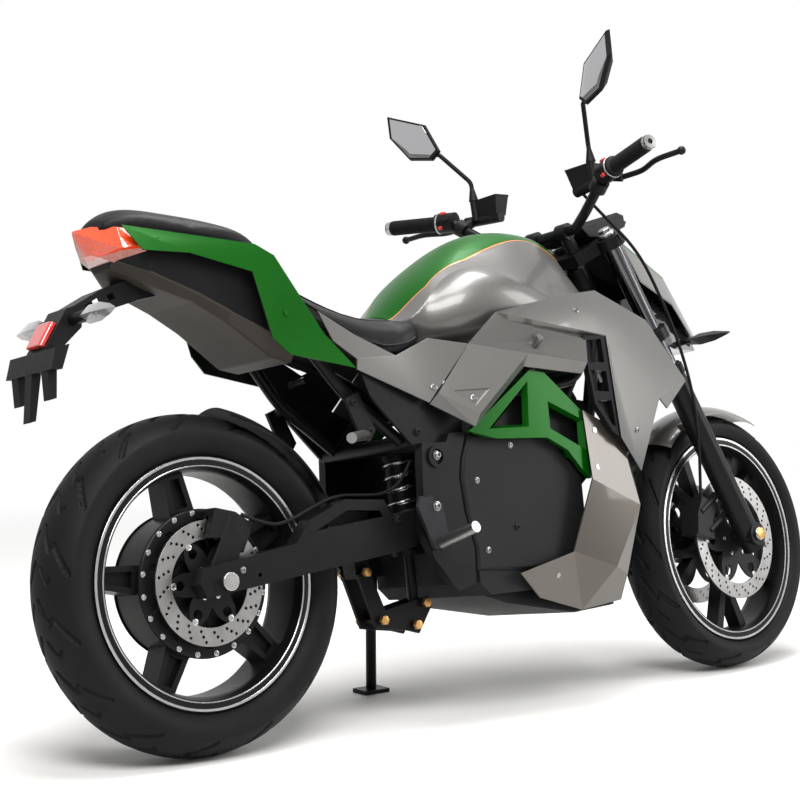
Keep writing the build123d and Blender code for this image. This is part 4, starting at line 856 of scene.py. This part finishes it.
def undertail():
    """The black tail body: upright sides under the accent panels and a shallow trough between them."""
    loops = []
    for x, top, half_top, side, half_side, low, half_low in TAIL_ROWS:
        left = [(x, half_top, top), (x, half_side, side), (x, half_low, low)]
        loops.append(left + [(x, -y, z) for x, y, z in reversed(left)])
    stock = Stock()
    stock.loft(loops)
    # Its faces that look down carry a painted floor reflection
    made = stock.made("undertail_shell", "chassis", "black_plastic", NODE_FINISH["undertail"], FOLD_DEG)
    soften(made, 0.003)
    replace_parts(made, "undertail")


def plate_arm_root():
    """The front end of the plate holder's arm, up to the trough."""
    stock = Stock()
    stock.loft([[(x, y, z) for x, z in ARM_ROOT_OUTLINE] for y in (-ARM_ROOT_HALF, ARM_ROOT_HALF)])
    made = stock.made("plate_arm_root", "chassis", "black_plastic", sharp=FOLD_DEG)
    soften(made, 0.0015)


def lower_cowls():
    """Folded sheets: flat facets between named corners, thickened inwards."""
    names = list(COWL_CORNERS)
    count = len(names)
    outer = [tuple(names.index(n) for n in facet) for facet in COWL_FACETS]
    edges = [pair for facet in outer for pair in zip(facet, facet[1:] + facet[:1])]
    rims = [(a, b) for a, b in edges if (b, a) not in edges]
    inner = [tuple(reversed([i + count for i in facet])) for facet in outer]
    walls = [(b, a, a + count, b + count) for a, b in rims]
    for side, word in ((1, "left"), (-1, "right")):
        points = [(x, side * (y - deep), z) for deep in (0.0, SHEET) for x, y, z in COWL_CORNERS.values()]
        faces = outer + inner + walls
        if side > 0:
            faces = [tuple(reversed(face)) for face in faces]
        node = "lower_cowl_" + word
        made = piece(node + "_skin", points, faces, "chassis", "silver_paint", NODE_FINISH[node], FOLD_DEG)
        soften(made, 0.0016)
        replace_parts(made, node)
        SKINS[node] = made


def cheeks():
    """Dark cheeks that stand up behind the accent frame's windows."""
    stock = Stock()
    for side in (1, -1):
        stock.loft([[(x, side * y, z) for x, z in CHEEK_OUTLINE] for y in CHEEK_Y])
    stock.made("inner_cheeks", "chassis", "black_plastic", sharp=FOLD_DEG)


undertail()
plate_arm_root()
lower_cowls()
cheeks()


# Screws and nuts

BRIGHT, DARK = "bare_metal", "cast_metal"
SCREWS = [
    # node, x, z, screw radius, slot
    ("shroud", 0.1485, 0.795, 0.0040, BRIGHT),
    ("shroud", 0.2917, 0.541, 0.0040, BRIGHT),
    ("shroud", -0.1527, 0.622, 0.0045, BRIGHT),
    ("battery_case", -0.0442, 0.5274, 0.0044, BRIGHT),
    ("battery_case", -0.140, 0.462, 0.0044, BRIGHT),
    ("battery_case", -0.0473, 0.3634, 0.0050, DARK),
    ("battery_case", -0.128, 0.324, 0.0044, BRIGHT),
    ("lower_cowl", 0.1665, 0.546, 0.0040, BRIGHT),
    ("lower_cowl", 0.1613, 0.470, 0.0040, BRIGHT),
    ("lower_cowl", 0.0428, 0.259, 0.0040, BRIGHT),
    ("side_panel", -0.2247, 0.649, 0.0044, BRIGHT),
    ("pillion_pegs", -0.3986, 0.628, 0.0055, DARK),
    ("pillion_pegs", -0.366, 0.572, 0.0055, DARK),
    ("pivot_plates", -0.2647, 0.5646, 0.0060, DARK),
    ("pivot_plates", -0.2319, 0.5169, 0.0065, BRIGHT),
    ("rider_pegs", -0.260, 0.418, 0.0065, BRIGHT),
    ("swingarm", -0.3104, 0.4007, 0.0060, DARK),
    ("swingarm", -0.676, 0.334, 0.0040, BRIGHT),
]
MOTOR_SCREWS = {"count": 20, "circle": 0.1295, "face": 0.048, "radius": 0.0036, "start": 0.1}
FORK_CAP = [(0.0195, -0.001), (0.0195, 0.003), (0.0180, 0.0042)]
FORK_HEX = {"lift": 0.004, "radius": 0.0145, "height": 0.009}
AXLE_NUT = {"face": 0.1275, "radius": 0.0150, "height": 0.010}
LINKAGE_NUT = {"face": 0.0358, "radius": 0.0105, "height": 0.008}
LINKAGE_PIVOTS = [(-0.330, 0.304), (-0.298, 0.207), (-0.215, 0.190), (-0.188, 0.231)]


def screws():
    """Screws on both sides, on the outer faces of the solids that they hold."""
    stocks = {}
    for node, x, z, radius, slot in SCREWS:
        for side, word in ((1, "_left"), (-1, "_right")):
            place, normal = on_side(node if node in NODES else node + word, x, z, side)
            stocks.setdefault(slot, Stock()).bolt(place, normal, radius)
    for slot, stock in stocks.items():
        metal = FINISH["fastener" if slot == BRIGHT else slot]
        stock.made("chassis_screws_" + slot, "chassis", slot, metal)


def motor_screws():
    stock = Stock()
    for side in (1, -1):
        for angle in turns(MOTOR_SCREWS["count"]):
            u, v = polar(MOTOR_SCREWS["circle"], angle + MOTOR_SCREWS["start"])
            place = REAR_AXLE + Vector((u, side * MOTOR_SCREWS["face"], v))
            stock.bolt(place, (0, side, 0), MOTOR_SCREWS["radius"])
    stock.made("motor_screws", "rear_wheel_set", "bare_metal")


def fork_caps():
    stock = Stock()
    for side in (1, -1):
        top = FRONT_AXLE + FORK_UP * TUBE_TOP + Vector((0, side * FORK_HALF, 0))
        stock.lathe(top, FORK_UP, FORK_CAP, 32)
        stock.hexagon(top + FORK_UP * FORK_HEX["lift"], FORK_UP, FORK_HEX["radius"], FORK_HEX["height"])
    stock.made("fork_caps", "steering", "bare_metal")


def side_nuts(name, body, places, nut):
    """Six-sided brass nuts on both ends of cross bolts."""
    stock = Stock()
    for x, z in places:
        for side in (1, -1):
            stock.hexagon((x, side * nut["face"], z), (0, side, 0), nut["radius"], nut["height"])
    stock.made(name, body, None, FINISH["brass"])


screws()
motor_screws()
fork_caps()
side_nuts("front_axle_nuts", "steering", [(FRONT_AXLE.x, FRONT_AXLE.z)], AXLE_NUT)
side_nuts("linkage_nuts", "chassis", LINKAGE_PIVOTS, LINKAGE_NUT)


# Handlebar: ribbed grips, bar-end weights, buttons and mirror glass

GRIP_BORE = 0.0115
GRIP_RIBS = 22
# Turned rows: radius, along the bar
BAR_WEIGHT = [(GRIP_BORE, 0.0), (0.0150, 0.0004), (0.0155, 0.002), (0.0155, 0.009), (0.0140, 0.0122),
              (0.0060, 0.0126), (0.0050, 0.010), (0.001, 0.010)]
BAR_COLLAR = [(0.0235, -0.0015), (0.0238, 0.0), (0.0238, 0.0022), (0.0230, 0.003)]
KEYS = [
    # tilt in degrees, place along the bar, half sizes and height, colour
    (62, 0.004, (0.0070, 0.0045, 0.005), "red"), (10, -0.008, (0.0060, 0.0040, 0.005), "black"),
    (-30, 0.006, (0.0055, 0.0040, 0.005), "red"), (8, 0.010, (0.0045, 0.0045, 0.004), "black"),
]
KEYS_FROM_GRIP = 0.022
HOUSING_R = 0.0222
KEY_CROWN = 0.25
MIRROR_CENTRE = FRONT_AXLE + Vector((-0.533, 0.272, 0.982))
MIRROR_FACING = Vector((-0.960, -0.275, 0.045)).normalized()
MIRROR_OUTLINE = [(-0.060, 0.066), (0.032, 0.025), (0.062, -0.042), (0.042, -0.058), (-0.014, -0.045),
                  (-0.059, 0.015)]
# The glass's domed face: share of the outline, height
MIRROR_DOME = [(0.90, -0.0005), (0.90, 0.0006), (0.88, 0.0011), (0.5, 0.0013)]


def bar_lathe(stock, side, distance, rows):
    """A turned form about the straight end of the bar, counted from a distance in."""
    out = mirrored(BAR_OUT, side)
    stock.lathe(mirrored(BAR_END, side) - out * distance, out, rows, 28)


def grips():
    rubber, ends = Stock(), Stock()
    ribs = [(GRIP_BORE, 0.0), (GRIP_R + 0.005, 0.0), (GRIP_R + 0.005, 0.004), (GRIP_R + 0.002, 0.006)]
    pitch = (GRIP_LENGTH - 0.012) / GRIP_RIBS
    for k in range(GRIP_RIBS):
        start = 0.008 + k * pitch
        ribs += [(GRIP_R - 0.0012, start), (GRIP_R - 0.0012, start + 0.3 * pitch),
                 (GRIP_R, start + 0.45 * pitch), (GRIP_R, start + 0.9 * pitch)]
    ribs += [(GRIP_R - 0.001, GRIP_LENGTH), (GRIP_BORE, GRIP_LENGTH)]
    for side in (1, -1):
        bar_lathe(rubber, side, GRIP_LENGTH, ribs)
        bar_lathe(ends, side, 0.0, BAR_WEIGHT)
        bar_lathe(ends, side, GRIP_LENGTH + 0.0045, BAR_COLLAR)
    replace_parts(rubber.made("grip_ribs", "steering", "soft_rubber", sharp=30), "grips")
    ends.made("bar_ends", "steering", "bare_metal")


def key(stock, centre, axes, sizes):
    """A rounded rectangle that narrows and crowns towards its face."""
    u, v, w = axes
    loops = []
    for along, share in ((0.0, 1.0), (1.0 - KEY_CROWN, 1.0), (1.0 - 0.3 * KEY_CROWN, 0.9), (1.0, 0.7)):
        loop = []
        for angle in turns(20):
            c, s = math.cos(angle), math.sin(angle)
            loop.append(centre + w * along * sizes[2]
                        + u * math.copysign(abs(c) ** 0.5, c) * sizes[0] * share
                        + v * math.copysign(abs(s) ** 0.5, s) * sizes[1] * share)
        loops.append(loop)
    stock.loft(loops)


def bar_keys():
    """Keys on the rider's side of the switch housings."""
    stocks = {"red": Stock(), "black": Stock()}
    for side in (1, -1):
        out = mirrored(BAR_OUT, side)
        middle = mirrored(BAR_END, side) - out * (GRIP_LENGTH + KEYS_FROM_GRIP)
        back = Vector((-1, 0, 0))
        back = (back - out * back.dot(out)).normalized()
        up = out.cross(back) if out.cross(back).z > 0 else back.cross(out)
        for tilt, along, size, colour in KEYS:
            face = back * math.cos(math.radians(tilt)) + up * math.sin(math.radians(tilt))
            place = middle + out * along + face * HOUSING_R
            key(stocks[colour], place, (out, face.cross(out), face), size)
    stocks["red"].made("red_keys", "steering", None, FINISH["red_knob"])
    stocks["black"].made("black_keys", "steering", "soft_rubber")


def mirror_glass():
    stock = Stock()
    across = Vector((0, 0, 1)).cross(MIRROR_FACING).normalized()
    upward = MIRROR_FACING.cross(across)
    for side in (1, -1):
        loops = []
        for share, lift in MIRROR_DOME:
            middle = MIRROR_CENTRE + MIRROR_FACING * lift
            outline = [middle + (across * u + upward * v) * share for u, v in MIRROR_OUTLINE]
            loops.append([mirrored(point, side) for point in outline])
        stock.loft(loops)
    stock.made("mirror_glass", "steering", None, FINISH["mirror_glass"])


grips()
bar_keys()
mirror_glass()


# Rear shock: its coil

SHOCK_TOP, SHOCK_LOW = Vector((-0.196, 0, 0.560)), Vector((-0.190, 0, 0.232))
COIL = {"turns": 6.5, "steps": 24, "radius": 0.0285, "wire": 0.0052, "start": 0.042, "length": 0.174}


def coil():
    along = (SHOCK_LOW - SHOCK_TOP).normalized()
    side, other = frame_of(along)
    count = int(COIL["turns"] * COIL["steps"])
    path = []
    for k in range(count + 1):
        u, v = polar(COIL["radius"], 2 * math.pi * k / COIL["steps"])
        path.append(SHOCK_TOP + along * (COIL["start"] + COIL["length"] * k / count) + side * u + other * v)
    stock = Stock()
    stock.tube(path, COIL["wire"])
    stock.made("shock_coil", "chassis", "bare_metal", sharp=60)


coil()


# Brake hoses: the routes of their tubes

HOSE_BORE = 0.007
FRONT_HOSE = [
    # x from the front axle, side, height
    (-0.445, -0.124, 1.054), (-0.392, -0.132, 1.004), (-0.314, -0.146, 0.930), (-0.258, -0.144, 0.840),
    (-0.204, -0.141, 0.720), (-0.174, -0.136, 0.600), (-0.154, -0.116, 0.500), (-0.136, -0.092, 0.430),
    (-0.126, -0.076, 0.372),
]
REAR_HOSE = [
    (-0.640, -0.082, 0.436), (-0.600, -0.110, 0.408), (-0.548, -0.110, 0.416), (-0.500, -0.110, 0.436),
    (-0.440, -0.110, 0.456), (-0.380, -0.110, 0.452), (-0.330, -0.110, 0.450), (-0.285, -0.118, 0.470),
    (-0.262, -0.122, 0.512),
]


def hose(name, node, body, route):
    """A hose as one smooth curve that has the route's points as its control points."""
    places = [PLACE[body] @ Vector(point) for point in route]
    data = nurbs(name, places, 12)
    data.bevel_depth = HOSE_BORE / 2
    data.bevel_resolution = 4
    data.use_fill_caps = True
    data.materials.append(FINISH["soft_rubber"])
    made = placed(name, data)
    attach(made, body)
    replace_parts(made, node)


hose("front_hose", "front_brake_hose", "steering", [(FRONT_AXLE.x + x, y, z) for x, y, z in FRONT_HOSE])
hose("rear_hose", "rear_brake_hose", "chassis", REAR_HOSE)


# Camera, light and stage

CAMERA_PLACE = Vector((-2.612, -3.042, 0.370))
CAMERA_YAW = math.radians(51.3)
CAMERA_PITCH = math.radians(3.99)
CAMERA_ROLL = math.radians(-5.48)
FOCAL_SHARE = 1925 / 800
SENSOR_MM = 36.0
FLOOR_REACH = 60.0
FLOOR_TONE = (0.86, 0.85, 0.83, 1)
# The floor fades to white between these distances
FADE_START, FADE_END = 1.2, 4.0
WORLD_DIFFUSE = 0.24
LIGHTS = [
    # name, place, target, size, power
    ("key", (-2.0, -2.4, 3.4), (0, 0, 0.5), (2.4, 1.6), 170),
    ("top", (0.1, -0.2, 3.6), (0, 0, 0.5), (3.0, 1.4), 170),
    ("side", (2.8, -2.2, 1.8), (0.3, 0, 0.6), (1.4, 2.2), 70),
]


def make_camera():
    ahead = Vector((math.cos(CAMERA_PITCH) * math.cos(CAMERA_YAW),
                    math.cos(CAMERA_PITCH) * math.sin(CAMERA_YAW), math.sin(CAMERA_PITCH)))
    level_right = ahead.cross(Vector((0, 0, 1))).normalized()
    level_up = level_right.cross(ahead)
    right = math.cos(CAMERA_ROLL) * level_right + math.sin(CAMERA_ROLL) * level_up
    matrix = Matrix((right, right.cross(ahead), -ahead)).transposed().to_4x4()
    matrix.translation = CAMERA_PLACE
    data = bpy.data.cameras.new("camera")
    data.sensor_width = SENSOR_MM
    data.lens = FOCAL_SHARE * SENSOR_MM
    data.clip_end = 200.0
    camera = placed("camera", data)
    camera.matrix_world = PARKED @ matrix
    bpy.context.scene.camera = camera


def area_light(name, place, target, size, power):
    data = bpy.data.lights.new(name, "AREA")
    data.shape = "RECTANGLE"
    data.size, data.size_y = size
    data.energy = power
    lamp = placed(name, data)
    lamp.location = place
    lamp.rotation_mode = "QUATERNION"
    lamp.rotation_quaternion = (Vector(target) - Vector(place)).to_track_quat("-Z", "Y")


def make_floor():
    mesh = bpy.data.meshes.new("floor")
    corners = [(x * FLOOR_REACH, y * FLOOR_REACH, 0) for x, y in ((-1, -1), (1, -1), (1, 1), (-1, 1))]
    mesh.from_pydata(corners, [], [(0, 1, 2, 3)])
    floor = placed("floor", mesh)
    material, tree, bsdf = shader("floor")
    feed(tree, bsdf, {"Base Color": FLOOR_TONE, "Roughness": 0.6})
    distance = add(tree, "VectorMath", {0: coordinate(tree)}, operation="LENGTH").outputs["Value"]
    fade = level(tree, distance, 0.0, 1.0, FADE_START, FADE_END)
    seen = calc(tree, "MULTIPLY", fade, add(tree, "LightPath").outputs["Is Camera Ray"])
    white = add(tree, "Emission").outputs[0]
    mix = add(tree, "MixShader", {0: seen, 1: bsdf.outputs[0], 2: white})
    feed(tree, tree.nodes["Material Output"], {"Surface": mix.outputs[0]})
    mesh.materials.append(material)


def make_world():
    world = bpy.data.worlds.new("studio")
    bpy.context.scene.world = world
    world.use_nodes = True
    tree = world.node_tree
    rays = add(tree, "LightPath").outputs
    seen = calc(tree, "MAXIMUM", rays["Is Camera Ray"], rays["Is Transmission Ray"])
    bright = calc(tree, "MAXIMUM", seen, rays["Is Glossy Ray"])
    inputs = {"Color": (1, 1, 1, 1), "Strength": level(tree, bright, WORLD_DIFFUSE, 1.0)}
    feed(tree, tree.nodes["Background"], inputs)


# CAD nodes: rounded edges and a finish on each

SMOOTH_NODES = ("tank", "rider_seat", "pillion_seat")
EDGE_ROUND = 0.0018
EDGE_DEG = 24


def finish_node(name, node):
    node.data.materials.clear()
    node.data.materials.append(NODE_FINISH[name])
    node.modifiers.new("weld", "WELD").merge_threshold = 0.00002
    if name not in SMOOTH_NODES:
        flat = node.modifiers.new("flat", "DECIMATE")
        flat.decimate_type = "DISSOLVE"
        flat.angle_limit = math.radians(0.5)
        rounded(node, EDGE_ROUND, EDGE_DEG)
    for polygon in node.data.polygons:
        polygon.use_smooth = True
    weighted(node)


for node_name, node_object in NODES.items():
    finish_node(node_name, node_object)

make_camera()
make_floor()
make_world()
for light in LIGHTS:
    area_light(*light)
bpy.context.scene.view_settings.view_transform = "Standard"
